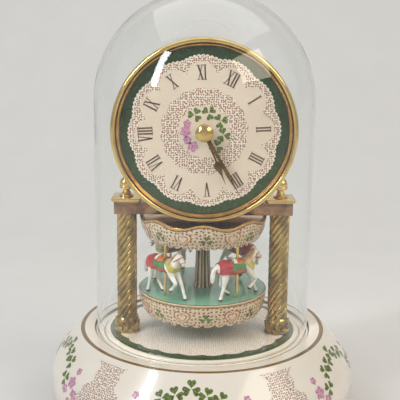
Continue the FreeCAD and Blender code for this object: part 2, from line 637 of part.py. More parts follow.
hand_hub, hour_z, minute_z = 3.4, "dial_front + 2.6", "dial_front + 4.4"
for hand, length, swell, swell_at, level, angle, bore_radius in (
        ("minute", "minute_length", 1.7, "minute_length * 0.62", minute_z, "minute_angle", knob_shaft - 0.1),
        ("hour", "hour_length", 2.9, "hour_length * 0.66", hour_z, "hour_angle", pipe_radius)):
    swing = value(angle)
    flat = in_head(blade(f"{hand}_blade", length, 1.1, swell, swell_at), z=level, turn=swing)
    hub = in_head(rod(f"{hand}_hub", hand_hub, 0.6), z=level)
    hub_bore = in_head(rod(f"{hand}_hub_bore", bore_radius, 3), z=f"{level} - 1")
    node(f"{hand}_hand", cut(f"{hand}_hand", fuse(f"{hand}_hand_blank", flat, hub), hub_bore))
cap_base = "dial_front + 5.0"
CAP_REACH, CAP_RISE = 5.4, 3.2
node("hand_cap", in_head(turned("hand_cap", [
    ("0", "1.5"), (f"{knob_shaft} - 0.1", "1.5"), (f"{knob_shaft} - 0.1", "0"), (CAP_REACH, "0"),
    (CAP_REACH, "1.0"),
    ("0", f"1.0 + {CAP_RISE}", f"({CAP_REACH}^2 + {CAP_RISE}^2) / (2 * {CAP_RISE})")]), z=cap_base))
node("set_knob", in_head(turned("set_knob", [
    ("0", "0"), ("6.0", "0"), ("6.5", "0.5"), ("6.5", "4.6"), ("6.0", "5.1"), (knob_shaft, "5.1"),
    (knob_shaft, "4.0"), ("0", "4.0")]), z="can_back - 6"))

# Carousel spindle, its gear and the hub under the platform
spindle_foot = 28.05
node("spindle", rod("spindle", "spindle_radius", f"beam_bottom + beam_height - 2 - {spindle_foot}", 0, 0,
                    spindle_foot))
spindle_gear = gear("spindle_gear", "spindle_teeth", "train_module", "wheel_width", "spindle_radius")
node("spindle_gear", place(spindle_gear, 0, 0, "wheel_bottom",
                           Rotation(Vector(0, 0, 1), 180 / value("spindle_teeth"))))
hub_height = 9.0
node("platform_hub", place(turned("platform_hub", [
    ("spindle_radius", "0"), ("4.5", "0"), ("4.5", f"{hub_height} - 2.5"), ("11", f"{hub_height} - 1.5"),
    ("11", hub_height), ("spindle_radius", hub_height)]), 0, 0,
    f"platform_top - platform_thickness - {hub_height}"))
node("platform", place(turned("platform", [
    ("spindle_radius", "0"), ("platform_radius - 1.6", "0"), ("platform_radius - 1.6", "0.8"),
    ("platform_radius", "0.8"), ("platform_radius", "platform_thickness - 0.6"),
    ("platform_radius - 0.6", "platform_thickness"), ("spindle_radius", "platform_thickness")]),
    0, 0, "platform_top - platform_thickness"))


def scalloped(name, corners, count, radius, reach, level, phase=0.0):
    """A turned ring with round bites taken out of one edge all the way round."""
    body = turned(name, corners)
    doc.recompute()
    whole = body.Shape.Volume
    sketch = new_sketch(body, "XZ_Plane")
    sketch.AttachmentOffset = Placement(Vector(), Rotation(Vector(0, 1, 0), phase))
    circle(sketch, 0, level, radius)
    doc.recompute()
    bite = body.newObject("PartDesign::Pocket", name + "_bite")
    bite.Profile = sketch
    bind(bite, Length=reach)
    bite.Reversed = False
    doc.recompute()
    if abs(body.Shape.Volume - whole) < 1e-6:
        bite.Reversed = True
        doc.recompute()
    pattern_round(body, bite, sketch, "V_Axis", count)
    return body


# Scalloped skirt under the platform's edge
node("platform_skirt", scalloped("platform_skirt", [
    ("skirt_foot - porcelain_wall", "skirt_bottom"), ("skirt_foot", "skirt_bottom"),
    ("platform_radius - 0.3", "platform_top - platform_thickness + 0.8", "34"),
    ("platform_radius - 1.6", "platform_top - platform_thickness + 0.8"),
    ("platform_radius - 1.6", "platform_top - platform_thickness"),
    ("platform_radius - 0.6 - porcelain_wall", "platform_top - platform_thickness")],
    "skirt_lobes", 1.6, "platform_radius + 2", "skirt_bottom - 0.7"))

# Centre column round the spindle
node("centre_column", place(turned("centre_column", [
    ("spindle_radius", "0"), ("post_bottom_radius + 0.8", "0"), ("post_bottom_radius + 0.8", "1.2"),
    ("post_bottom_radius", "2.4"), ("post_top_radius", "roof_height - platform_top - 2"),
    ("post_top_radius + 0.8", "roof_height - platform_top - 1"),
    ("post_top_radius + 0.8", "roof_height - platform_top"),
    ("spindle_radius", "roof_height - platform_top")]),
    0, 0, "platform_top"))

# Canopy: a shallow roof disc, a nut on the spindle and a waved edge
node("canopy_roof", place(turned("canopy_roof", [
    ("spindle_radius", "0"), ("valance_radius - porcelain_wall - 0.7", "0"),
    ("valance_radius - porcelain_wall - 0.7", "1.0"), ("14", "1.9"), ("spindle_radius", "1.9")]), 0, 0,
    "roof_height"))
roof_nut = hexagon("roof_nut_blank", 4.0, 1.4, 0, 0, "roof_height + 1.9")
roof_nut_bore = rod("roof_nut_bore", "spindle_radius", 4, 0, 0, "roof_height + 1")
node("canopy_nut", cut("canopy_nut", roof_nut, roof_nut_bore))
wave_radius = 11.0
node("canopy_valance", scalloped("canopy_valance", [
    ("valance_foot - porcelain_wall", "valance_bottom"), ("valance_foot", "valance_bottom"),
    ("valance_radius", "valance_top", "34"), ("valance_radius - porcelain_wall", "valance_top"),
    ("valance_radius - porcelain_wall - 0.7", "roof_height + 1"),
    ("valance_radius - porcelain_wall - 0.7", "roof_height"),
    ("valance_radius - porcelain_wall - 1.6", "roof_height")],
    "valance_waves", wave_radius, "valance_radius + 4", f"valance_top - wave_depth + {wave_radius}", 22.5))

# Horses: one carved shape, forward along +X, standing at the foot of its pole
leg_paths = {
    # hip or shoulder, hock or knee, hoof; forward, sideways and up, in horse heights
    "left_hind": [(-0.30, 0.075, 0.58), (-0.34, 0.08, 0.29), (-0.14, 0.08, 0.05)],
    "right_hind": [(-0.33, -0.075, 0.58), (-0.36, -0.08, 0.29), (-0.45, -0.08, 0.02)],
    "left_fore": [(0.25, 0.07, 0.58), (0.42, 0.075, 0.30), (0.53, 0.075, 0.02)],
    "right_fore": [(0.24, -0.07, 0.58), (0.41, -0.075, 0.35), (0.23, -0.075, 0.17)],
}


def limb(name, start, end, first, last):
    """A tapered limb between two points, all in horse heights."""
    a, b = Vector(*start), Vector(*end)
    item = doc.addObject("Part::Cone", name)
    tall = f"horse_height * {(b - a).Length}"
    bind(item, Radius1=f"horse_height * {first}", Radius2=f"horse_height * {last}", Height=tall)
    return place(item, *[f"horse_height * {number}" for number in a], Rotation(Vector(0, 0, 1), b - a))


def chain(name, *stations):
    """Limbs end to end through (point, radius) stations, all in horse heights."""
    return [limb(f"{name}_{number}", first[0], second[0], first[1], second[1])
            for number, (first, second) in enumerate(zip(stations, stations[1:]))]


SPINE = 0.672
masses = chain("horse_trunk", *[((along, 0, SPINE), radius) for along, radius in (
    (-0.52, 0.07), (-0.46, 0.125), (-0.37, 0.15), (-0.20, 0.138), (0.10, 0.136), (0.24, 0.148), (0.33, 0.113),
    (0.37, 0.06))])
masses += chain("horse_neck", ((0.25, 0, 0.70), 0.12), ((0.41, 0, 0.93), 0.074), ((0.4388, 0, 0.9714), 0.045))
masses += chain("horse_face", ((0.405, 0, 0.935), 0.069), ((0.555, 0, 0.762), 0.046),
                ((0.579, 0, 0.73432), 0.028))
masses += chain("horse_tail", ((-0.47, 0, 0.715), 0.048), ((-0.56, 0, 0.57), 0.052), ((-0.588, 0, 0.37), 0.028))
for side in (-1, 1):
    masses += chain(f"horse_ear_{side + 1}", ((0.415, 0.036 * side, 0.95), 0.02),
                    ((0.42, 0.04 * side, 1.02), 0.006))
for name, (hip, hock, hoof) in leg_paths.items():
    fetlock = [low + (high - low) * 0.22 for low, high in zip(hoof, hock)]
    masses.append(limb(f"{name}_thigh", hip, hock, 0.07, 0.044))
    masses += chain(f"{name}_shin", (hock, 0.04), (fetlock, 0.031), (hoof, 0.046))
carved = fuse("horse_carving", *masses)
floor_size = "horse_height * 2"
horse_floor = block("horse_floor", floor_size, floor_size, "horse_height", "-horse_height", "-horse_height",
                    "-horse_height")
pole_hole = rod("horse_pole_hole", "pole_radius", floor_size, 0, 0, "-horse_height / 2")
horse_model = cut("horse_model", carved, horse_floor, pole_hole)
doc.recompute()
HORSES = {"front_left": (-47.0, -46.0), "front_right": (42.0, 31.0), "back_right": (133.0, 133.0),
          "back_left": (-137.0, -137.0)}
poles = []
for name, (bearing, heading) in HORSES.items():
    x = f"horse_circle * {math.sin(math.radians(bearing))}"
    y = f"-horse_circle * {math.cos(math.radians(bearing))}"
    horse = doc.addObject("Part::Feature", f"{name}_horse")
    horse.Shape = horse_model.Shape
    node(f"{name}_horse", place(horse, x, y, "platform_top", Rotation(Vector(0, 0, 1), heading)))
    poles.append(rod(f"{name}_pole", "pole_radius", "roof_height - platform_top", x, y, "platform_top"))
node("horse_poles", group("horse_poles", *poles))

# Music movement: bedplate with a footstep post for the spindle
bed_bottom = "plate_bottom + plate_thickness"
bed_top = f"{bed_bottom} + bed_thickness"
bed_slab = block("bed_slab", 70, 48, "bed_thickness", -20, -7, bed_bottom)
post_top = 34.0
bed_post = rod("bed_post", 5, f"{post_top} - ({bed_bottom})", 0, 0, bed_bottom)
step_hole = rod("step_hole", bush_bore, 20, 0, 0, spindle_foot - 0.05)
arbor_hole = rod("bed_arbor_hole", "arbor_radius + running_gap", 10, 0, "barrel_y", "plate_bottom")
bed_holes = [rod(f"bed_screw_hole_{number}", MOVEMENT_SCREW, 10, x, y, "plate_bottom")
             for number, (x, y) in enumerate(BED_SPOTS)]
COMB_SPOTS = [(24, 1), (36, 1)]
comb_front, comb_back = -3.5, 5.5
comb_left, comb_width = "cylinder_start - 0.8", 21.2
train_level = "wheel_bottom - train_module * 1.25 - train_module * pinion_teeth / 2"
base_holes = [rod(f"bed_comb_hole_{number}", MOVEMENT_SCREW, 30, x, y, bed_bottom)
              for number, (x, y) in enumerate(COMB_SPOTS)]
node("movement_bedplate", cut("movement_bedplate", fuse("bed_blank", bed_slab, bed_post), step_hole,
                              arbor_hole,
                              *bed_holes, *base_holes))
comb_stand = block("comb_stand", comb_width, comb_back - comb_front, f"{train_level} - ({bed_top})",
                   comb_left,
                   comb_front, bed_top)
stand_holes = [rod(f"comb_stand_hole_{number}", MOVEMENT_SCREW, 30, x, y, bed_bottom)
               for number, (x, y) in enumerate(COMB_SPOTS)]
node("comb_base", cut("comb_base", comb_stand, *stand_holes))

# Steel comb: a flat plate cut into tuned teeth
comb_tip = "barrel_y - cylinder_radius - 0.9"
comb_thickness = 1.0
comb_plate = block("comb_plate", comb_width, f"{comb_tip} - ({comb_front})", comb_thickness, comb_left,
                   comb_front,
                   train_level)
COMB_TEETH, SLIT_WIDTH, TREBLE_STEP = 18, 0.35, 0.25
slits = []
for number in range(COMB_TEETH + 1):
    root = comb_back + 1 + TREBLE_STEP * number
    slits.append(block(f"comb_slit_{number}", SLIT_WIDTH, f"{comb_tip} - {root} + 1", 4,
                       f"cylinder_start + 0.7 + {number}", root, f"{train_level} - 1"))
comb_holes = [rod(f"comb_hole_{number}", MOVEMENT_SCREW, 30, x, y, bed_bottom)
              for number, (x, y) in enumerate(COMB_SPOTS)]
node("comb", cut("comb", comb_plate, *slits, *comb_holes))
node("movement_screws", group("movement_screws", *[
    screw(f"bed_screw_{number}", "bed_thickness + plate_thickness - 0.5", x, y, bed_top, down=True)
    for number, (x, y) in enumerate(BED_SPOTS)], *[
    screw(f"comb_screw_{number}", 9, x, y, f"{train_level} + {comb_thickness}", down=True)
    for number, (x, y) in enumerate(COMB_SPOTS)]))

# Spring barrel, its toothed lid and the mainspring
drum_bottom = 24.0
arbor_fit = "arbor_radius + running_gap"
node("spring_barrel", place(turned("spring_barrel", [
    (arbor_fit, f"{drum_bottom}"), ("drum_radius", f"{drum_bottom}"), ("drum_radius", "wheel_bottom"),
    ("drum_radius - 1.2", "wheel_bottom"), ("drum_radius - 1.2", f"{drum_bottom} + 1.2"),
    (arbor_fit, f"{drum_bottom} + 1.2")]), 0, "barrel_y", 0))
drive_wheel = gear("drive_wheel", "drive_teeth", "train_module", "wheel_width", arbor_fit)
crown_pitch = value("train_module * crown_teeth / 2")
crown_face = 1.6
crown_sketch = new_sketch(drive_wheel, "YZ_Plane")
crown_sketch.AttachmentOffset = Placement(Vector(0, 0, crown_pitch - crown_face / 2), Rotation())
modulus = value("train_module")
pitch_depth = 1.25 * modulus
tip_depth = pitch_depth + TOOTH_ADDENDUM * modulus
half_thickness = modulus * (math.pi / 2 - 2.5 * TOOTH_BACKLASH) / 2
slope = math.tan(PRESSURE_ANGLE)
sunk = 0.5
half_top = half_thickness + (pitch_depth + sunk) * slope
half_tip = half_thickness - (tip_depth - pitch_depth) * slope
crown_corners = [Vector(-half_top, sunk, 0), Vector(-half_tip, -tip_depth, 0),
                 Vector(half_tip, -tip_depth, 0),
                 Vector(half_top, sunk, 0)]
for number, corner in enumerate(crown_corners):
    crown_sketch.addGeometry(Part.LineSegment(corner, crown_corners[(number + 1) % 4]), False)
doc.recompute()
crown_tooth = drive_wheel.newObject("PartDesign::Pad", "crown_tooth")
crown_tooth.Profile = crown_sketch
crown_tooth.Length = crown_face
doc.recompute()
crown_axis = next(feature for feature in drive_wheel.Origin.OriginFeatures if feature.Role == "Z_Axis")
crown_ring = drive_wheel.newObject("PartDesign::PolarPattern", "crown_ring")
crown_ring.Originals = [crown_tooth]
crown_ring.Axis = (crown_axis, [""])
crown_ring.Angle = 360
bind(crown_ring, Occurrences="crown_teeth")
drive_wheel.Tip = crown_ring
node("drive_wheel", place(drive_wheel, 0, "barrel_y", "wheel_bottom"))


def mainspring_shape(inner, pitch, turns, thickness, height):
    """A flat spiral ribbon of half circles about two centres."""
    def spiral(start):
        edges = []
        radius = start
        x = 0.0
        for half in range(2 * turns):
            side = 1 if half % 2 == 0 else -1
            ends = [Vector(x + radius, 0, 0), Vector(x, side * radius, 0), Vector(x - radius, 0, 0)]
            edges.append(Part.Arc(*(ends if side > 0 else ends[::-1])).toShape())
            step = pitch / 2
            radius += step
            x += side * step
        return edges

    inside, outside = spiral(inner), spiral(inner + thickness)
    ends = [Part.LineSegment(Vector(inner, 0, 0), Vector(inner + thickness, 0, 0)).toShape()]
    last = inner + pitch * turns
    ends.append(Part.LineSegment(Vector(last, 0, 0), Vector(last + thickness, 0, 0)).toShape())
    wire = Part.Wire(Part.__sortEdges__(inside + outside + ends))
    return Part.Face(wire).extrude(Vector(0, 0, height))


spring = doc.addObject("Part::Feature", "mainspring")
SPRING_TURNS = 5
spring.Shape = mainspring_shape(4.0, 1.2, SPRING_TURNS, 0.45, value(f"wheel_bottom - {drum_bottom}") - 2.4)
node("mainspring", place(spring, 0, "barrel_y", drum_bottom + 1.8))

# Bridge over the barrel, carried on two pillars
bridge_bottom = "wheel_bottom + wheel_width + 1"
bridge_thickness, pillar_x, pillar_y = 2.4, -16.9, 10.0
bridge_bar = block("bridge_bar", 26, 8, bridge_thickness, -20, "barrel_y - 4", bridge_bottom)
bridge_arm = block("bridge_arm", 6.4, 2 * pillar_y + 6, bridge_thickness, -20, f"barrel_y - {pillar_y} - 3",
                   bridge_bottom)
pillars = [rod(f"bridge_pillar_{number}", 2.6, f"{bridge_bottom} - ({bed_top}) + 1", pillar_x,
               f"barrel_y + {y}",
               bed_top) for number, y in enumerate((-pillar_y, pillar_y))]
bridge_hole = rod("bridge_hole", arbor_fit, 10, 0, "barrel_y", f"{bridge_bottom} - 2")
node("barrel_bridge", cut("barrel_bridge", fuse("bridge_blank", bridge_bar, bridge_arm, *pillars),
                          bridge_hole))

# Winding arbor and the wing key under the base
arbor_foot = 6.0
node("winding_arbor",
     rod("winding_arbor", "arbor_radius", f"{bridge_bottom} + {bridge_thickness} - {arbor_foot}", 0,
         "barrel_y",
                          arbor_foot))
key_top = 13.0
key_hub = rod("key_hub", 3.2, key_top - 3, 0, "barrel_y", 3)
key_wings = [rod(f"key_wing_{number}", 4.6, 2, x, "barrel_y + 1", 6.6, ALONG_FRONT)
             for number, x in enumerate((-6, 6))]
key_web = block("key_web", 12, 2, 5, -6, "barrel_y - 1", 4.1)
key_bore = rod("key_bore", "arbor_radius", 10, 0, "barrel_y", arbor_foot)
node("winding_key", cut("winding_key", fuse("key_blank", key_hub, key_web, *key_wings), key_bore))

# Pinned cylinder on its arbor, lying out to the right of the barrel
arbor_thin = 1.2
drum_roll = rod("cylinder_drum", "cylinder_radius", "cylinder_length", "cylinder_start", "barrel_y",
                train_level,
                ALONG_X)
PIN_ROWS, PINS_PER_ROW = 18, 3
pins = []
for row in range(PIN_ROWS):
    for pin in range(PINS_PER_ROW):
        angle = (row * 77 + pin * 131) % 360
        lean = Rotation(Vector(1, 0, 0), angle)
        out = lean.multVec(Vector(0, 0, 1))
        reach = value("cylinder_radius") - 0.5
        item = doc.addObject("Part::Cylinder", f"pin_{row}_{pin}")
        item.Radius, item.Height = 0.18, 1.1
        item.Placement = Placement(Vector(value("cylinder_start") + 1.4 + row,
                                          value("barrel_y") + out.y * reach,
                                          value(train_level) + out.z * reach), lean)
        pins.append(item)
roll_bore = rod("cylinder_bore", arbor_thin, "cylinder_length + 4", "cylinder_start - 2", "barrel_y",
                train_level,
                ALONG_X)
node("music_cylinder", cut("music_cylinder", fuse("cylinder_blank", drum_roll, *pins), roll_bore))
pinion_x = crown_pitch - crown_face / 2 - 0.1
pinion_width = crown_face + 0.6
cylinder_pinion = gear("cylinder_pinion", "pinion_teeth", "train_module", pinion_width, None)
place(cylinder_pinion, pinion_x, "barrel_y", train_level,
      ALONG_X.multiply(Rotation(Vector(0, 0, 1), 180 / value("pinion_teeth"))))
wheel_x = 46.0
arbor_rod = rod("cylinder_rod", arbor_thin, wheel_x + 3.5 - pinion_x, pinion_x, "barrel_y", train_level,
                ALONG_X)
node("cylinder_arbor", fuse("cylinder_arbor", cylinder_pinion, arbor_rod))
fan_bearing = 90 + value("fan_rise")
tooth_step = 360 / value("fan_teeth")
cylinder_wheel = gear("cylinder_wheel", "fan_teeth", "fan_module", 2, arbor_thin)
node("cylinder_wheel", place(cylinder_wheel, wheel_x, "barrel_y", train_level,
                             ALONG_X.multiply(Rotation(Vector(0, 0, 1), fan_bearing % tooth_step))))

# Air-brake fan beside the cylinder
fan_reach = value("fan_module * (fan_teeth + pinion_teeth) / 2")
fan_y = value("barrel_y") + fan_reach * math.cos(math.radians(value("fan_rise")))
fan_z = value(train_level) + fan_reach * math.sin(math.radians(value("fan_rise")))
fan_rod_radius = 0.8
pinion_step = 360 / value("pinion_teeth")
fan_phase = (fan_bearing + 180 - pinion_step / 2) % pinion_step
fan_pinion = gear("fan_pinion", "pinion_teeth", "fan_module", 2.6, None)
place(fan_pinion, wheel_x - 0.3, fan_y, fan_z, ALONG_X.multiply(Rotation(Vector(0, 0, 1), fan_phase)))
fan_rod = rod("fan_rod", fan_rod_radius, wheel_x + 3.5 - 14.5, 14.5, fan_y, fan_z, ALONG_X)
fan_blade = block("fan_blade", 16, 0.6, 8.6, 21, fan_y - 0.3, fan_z - 4.3)
node("governor_fan", fuse("governor_fan", fan_pinion, fan_rod, fan_blade))

# Two bearing plates for the cylinder and the fan
plates = []
COCK_FRONT, COCK_TOP = 17, 42
for number, x in enumerate((17.2, 41.6)):
    sheet_plate = block(f"cock_plate_{number}", "cock_thickness", fan_y + 4 - COCK_FRONT,
                        f"{COCK_TOP} - ({bed_top})", x, COCK_FRONT, bed_top)
    cock_holes = [rod(f"cock_hole_{number}_0", f"{arbor_thin} + running_gap", 8, x - 2, "barrel_y",
                      train_level,
                      ALONG_X),
                  rod(f"cock_hole_{number}_1", f"{fan_rod_radius} + running_gap", 8, x - 2, fan_y, fan_z,
                      ALONG_X)]
    plates.append(cut(f"cock_{number}", sheet_plate, *cock_holes))
node("cylinder_cocks", group("cylinder_cocks", *plates))

# Check every object, then write one file for each piece
doc.recompute()
for item in doc.Objects:
    if {"Invalid", "Error"} & set(item.State):
        raise RuntimeError(f"{item.Name} did not compute: {item.State}")
for name, item in nodes.items():
    if item.Shape.isNull() or not item.Shape.isValid():
        raise RuntimeError(f"{name} has no valid shape")
os.makedirs("parts", exist_ok=True)
for name, item in nodes.items():
    shape = item.Shape
    shape.exportStep(f"parts/{name}.step")
    print(f"{name}: {len(shape.Solids)} solids, {shape.Volume:.1f} mm3")
print(len(nodes), "pieces")
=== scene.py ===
from math import atan2, cos, hypot, pi, radians, sin, sqrt, tan

import bmesh
import bpy
from mathutils import Matrix, Vector


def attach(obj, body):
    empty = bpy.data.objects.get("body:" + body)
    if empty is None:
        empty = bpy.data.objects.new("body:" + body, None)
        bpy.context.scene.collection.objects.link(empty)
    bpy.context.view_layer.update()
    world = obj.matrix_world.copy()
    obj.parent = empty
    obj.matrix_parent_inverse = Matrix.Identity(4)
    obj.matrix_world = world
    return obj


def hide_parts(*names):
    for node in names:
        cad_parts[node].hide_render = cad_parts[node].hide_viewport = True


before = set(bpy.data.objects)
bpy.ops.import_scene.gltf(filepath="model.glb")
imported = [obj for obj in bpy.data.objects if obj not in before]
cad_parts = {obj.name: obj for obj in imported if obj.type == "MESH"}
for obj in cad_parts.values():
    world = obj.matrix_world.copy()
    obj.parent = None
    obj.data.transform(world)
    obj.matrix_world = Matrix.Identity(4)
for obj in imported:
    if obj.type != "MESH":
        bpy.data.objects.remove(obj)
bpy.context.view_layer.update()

# The table it stands on: a pale sheet that curves up into a backdrop, with a cool window on the left,
# a warm lamp on the right and a soft one overhead, seen from the photograph's own camera.
MM = 0.001
SHEET_FRONT, SHEET_BACK, SHEET_TOP, SHEET_BEND, SHEET_HALF = -1.6, 1.1, 2.4, 0.7, 3.0
ARC_STEP = radians(6)


def rounded(corners):
    """Walk (across, up, rounding) corners and round each one off with an arc."""
    points = []
    for number, (across, up, radius) in enumerate(corners):
        here = Vector((across, up))
        if radius == 0 or number in (0, len(corners) - 1):
            points.append(here)
            continue
        back = (Vector(corners[number - 1][:2]) - here).normalized()
        ahead = (Vector(corners[number + 1][:2]) - here).normalized()
        half = back.angle(ahead) / 2
        centre = here + (back + ahead).normalized() * radius / sin(half)
        start = here + back * radius / tan(half) - centre
        turn = (pi - 2 * half) * (1 if (-back).cross(ahead) > 0 else -1)
        steps = max(3, round(abs(turn) / ARC_STEP))
        points += [centre + Matrix.Rotation(turn * step / steps, 2) @ start for step in range(steps + 1)]
    return points


def only_verts(result):
    return [item for item in result["geom"] if isinstance(item, bmesh.types.BMVert)]


def as_mesh(made, name):
    """Turn a modelled shape into mesh data."""
    data = bpy.data.meshes.new(name)
    made.to_mesh(data)
    made.free()
    return data


def add_object(name, data):
    made = bpy.data.objects.new(name, data)
    bpy.context.collection.objects.link(made)
    return made


def paint(code):
    """The linear colour of a six-digit paint code."""
    levels = [int(code[place:place + 2], 16) / 255 for place in (0, 2, 4)]
    return tuple(((level + 0.055) / 1.055) ** 2.4 if level > 0.04 else level / 12.92
                 for level in levels) + (1.0,)


class Value:
    """What a material works out point by point; it adds and multiplies like a plain number."""

    def __init__(self, socket):
        self.socket, self.tree = socket, socket.id_data

    def __add__(self, other):
        return calc("ADD", self, other)

    def __sub__(self, other):
        return calc("SUBTRACT", self, other)

    def __rsub__(self, other):
        return calc("SUBTRACT", other, self)

    def __mul__(self, other):
        return calc("MULTIPLY", self, other)

    def __pow__(self, other):
        return calc("POWER", self, other)

    def __abs__(self):
        return calc("ABSOLUTE", self)


def calc(operation, *numbers):
    tree = next(number.tree for number in numbers if isinstance(number, Value))
    made = tree.nodes.new("ShaderNodeMath")
    made.operation = operation
    for socket, number in zip(made.inputs, numbers):
        feed(socket, number)
    return Value(made.outputs[0])


def feed(socket, value):
    """Give a socket a plain value, or link a worked-out one to it."""
    if isinstance(value, Value):
        value.tree.links.new(value.socket, socket)
    else:
        socket.default_value = value


def set_sockets(node, **values):
    """Feed a node's sockets, named with _ for each space."""
    for name, value in values.items():
        feed(node.inputs[name.replace("_", " ")], value)


def start_finish(name, **plain):
    """A new material, its shader, and where a point lies on the piece in millimetres.

    plain holds the sockets that are the same all over."""
    material = bpy.data.materials.new(name)
    material.use_nodes = True
    nodes = material.node_tree.nodes
    set_sockets(nodes["Principled BSDF"], **plain)
    scaled = nodes.new("ShaderNodeVectorMath")
    scaled.operation = "SCALE"
    feed(scaled.inputs[0], Value(nodes.new("ShaderNodeTexCoord").outputs["Object"]))
    set_sockets(scaled, Scale=1 / MM)
    return material, nodes["Principled BSDF"], Value(scaled.outputs[0])


def noise(place, scale, **sockets):
    made = place.tree.nodes.new("ShaderNodeTexNoise")
    set_sockets(made, Vector=place, Scale=scale, **sockets)
    return Value(made.outputs[0])


def mixed(share, first, second):
    made = share.tree.nodes.new("ShaderNodeMix")
    made.data_type = "RGBA"
    for socket, value in ((0, share), (6, first), (7, second)):
        feed(made.inputs[socket], value)
    return Value(made.outputs[2])


sheet_finish, shader, place = start_finish("table_sheet", Roughness=0.7)
set_sockets(shader, Base_Color=mixed(noise(place, 0.02), paint("e4e2de"), paint("dedcd8")))

sheet_mesh = bmesh.new()
profile = rounded([(SHEET_FRONT, 0, 0), (SHEET_BACK, 0, SHEET_BEND), (SHEET_BACK, SHEET_TOP, 0)])
spots = [sheet_mesh.verts.new((-SHEET_HALF, point.x, point.y)) for point in profile]
edges = [sheet_mesh.edges.new(pair) for pair in zip(spots, spots[1:])]
swept = only_verts(bmesh.ops.extrude_edge_only(sheet_mesh, edges=edges))
bmesh.ops.translate(sheet_mesh, verts=swept, vec=(2 * SHEET_HALF, 0, 0))
bmesh.ops.recalc_face_normals(sheet_mesh, faces=sheet_mesh.faces)
sheet = add_object("table_sheet", as_mesh(sheet_mesh, "table_sheet"))
sheet.data.materials.append(sheet_finish)
sheet.data.shade_smooth()

scene = bpy.context.scene
scene.view_settings.view_transform = "Standard"
scene.world = bpy.data.worlds.new("studio_air")
scene.world.use_nodes = True
set_sockets(scene.world.node_tree.nodes["Background"], Color=(0.92, 0.95, 1.0, 1.0), Strength=0.44)

LAMPS = {
    # place, size across and up, watts, colour
    "window_lamp": ((-0.95, -0.70, 0.95), (0.16, 0.80), 7.2, (0.90, 0.95, 1.0)),
    "warm_lamp": ((0.95, -0.60, 0.98), (0.80, 0.60), 5.2, (1.0, 0.87, 0.70)),
    "top_lamp": ((0.05, 0.25, 1.40), (1.80, 1.40), 6.0, (1.0, 0.98, 0.95)),
}
AIM = Vector((0.0, 0.0, 0.13))
for lamp_name, (spot, (across, up), watts, colour) in LAMPS.items():
    lamp = bpy.data.lights.new(lamp_name, "AREA")
    lamp.shape, lamp.size, lamp.size_y = "RECTANGLE", across, up
    lamp.energy, lamp.color = watts, colour
    lamp_object = add_object(lamp_name, lamp)
    lamp_object.location = spot
    lamp_object.rotation_euler = (AIM - Vector(spot)).to_track_quat("-Z", "Y").to_euler()

CAMERA_PLACE, CAMERA_PITCH, CAMERA_ROLL = (-0.0022, -0.560, 0.2736), 0.2336, 0.0102
CAMERA_SENSOR, CAMERA_LENS = 36.0, 79.48
camera = add_object("camera", bpy.data.cameras.new("camera"))
camera.data.sensor_width, camera.data.lens = CAMERA_SENSOR, CAMERA_LENS
camera.matrix_world = (Matrix.Translation(CAMERA_PLACE) @ Matrix.Rotation(pi / 2 - CAMERA_PITCH, 4, "X")
                       @ Matrix.Rotation(CAMERA_ROLL, 4, "Z"))
scene.camera = camera

# Porcelain base: a cast and glazed ogee with a groove for the dome. A gilt band runs round its edge, a lace
# disc with a green border lies inside the groove, and lace panels hang between leaf sprays on its shoulder.
DISC, GROOVE_IN, GROOVE_OUT, SHOULDER, BELLY, RIM, RIM_IN = 60.5, 63.5, 71.5, 81.0, 100.5, 93.0, 84.0
DECK, LEDGE, DECK_EDGE, GROOVE_FLOOR, CEILING, BUSH_HOLE = 56.0, 55.2, 55.4, 53.8, 51.0, 4.0
OUTER_WALL = [(SHOULDER, DECK_EDGE, 1.6), (BELLY, 33.3, 27.3), (BELLY, 11.2, 33.15), (RIM, 2.0, 0.4)]
SPRAYS, SPRAY_START = 5, -4.0
LACE_MESH, WALL_REACH, WALL_STRETCH = 1.35, 92.0, 1.25
DISC_LACE, DISC_SCALLOPS, DISC_PICOTS = 53.2, (12, 1.8), (90, 0.5)  # waves and depth of each edge
PANEL_HALF, PANEL_BLUR, PANEL_WAIST, PANEL_TOP, PANEL_FOOT = 0.075, 0.006, 46.0, 53.5, 7.0
# The two grey lines lie on the groove floor against its walls as painted shade in the groove's corners; the
# brown line further out is the gilt band.
GILT_BAND_AND_GROOVE_SHADE = ((64.2, 0.4, "77716a"), (71.2, 0.4, "77716a"), (79.6, 1.2, "7d6238"))  # reach, half width, colour


def soft_step(value, low, high):
    """0 below low, 1 above high, eased between; low above high turns it round."""
    made = value.tree.nodes.new("ShaderNodeMapRange")
    made.interpolation_type = "SMOOTHSTEP"
    set_sockets(made, Value=value, From_Min=low, From_Max=high)
    return Value(made.outputs["Result"])


def split(place):
    made = place.tree.nodes.new("ShaderNodeSeparateXYZ")
    feed(made.inputs[0], place)
    return [Value(socket) for socket in made.outputs]


def flat_place(across, up):
    made = across.tree.nodes.new("ShaderNodeCombineXYZ")
    set_sockets(made, X=across, Y=up)
    return Value(made.outputs[0])


def bumped(height, distance, strength=1.0):
    made = height.tree.nodes.new("ShaderNodeBump")
    set_sockets(made, Strength=strength, Distance=distance, Height=height)
    return Value(made.outputs[0])


def start_group(name, inputs, outputs):
    """An empty shared effect, what it is given, and the node that takes its results."""
    group = bpy.data.node_groups.new(name, "ShaderNodeTree")
    for side, sockets in (("INPUT", inputs), ("OUTPUT", outputs)):
        for socket in sockets:
            kind = "NodeSocketVector" if socket == "Place" else "NodeSocketFloat"
            group.interface.new_socket(socket, in_out=side, socket_type=kind)
    given = group.nodes.new("NodeGroupInput").outputs
    return group, [Value(given[socket]) for socket in inputs], group.nodes.new("NodeGroupOutput")


def use_group(group, **inputs):
    made = next(iter(inputs.values())).tree.nodes.new("ShaderNodeGroup")
    made.node_tree = group
    set_sockets(made, **inputs)
    return {socket.name: Value(socket) for socket in made.outputs}


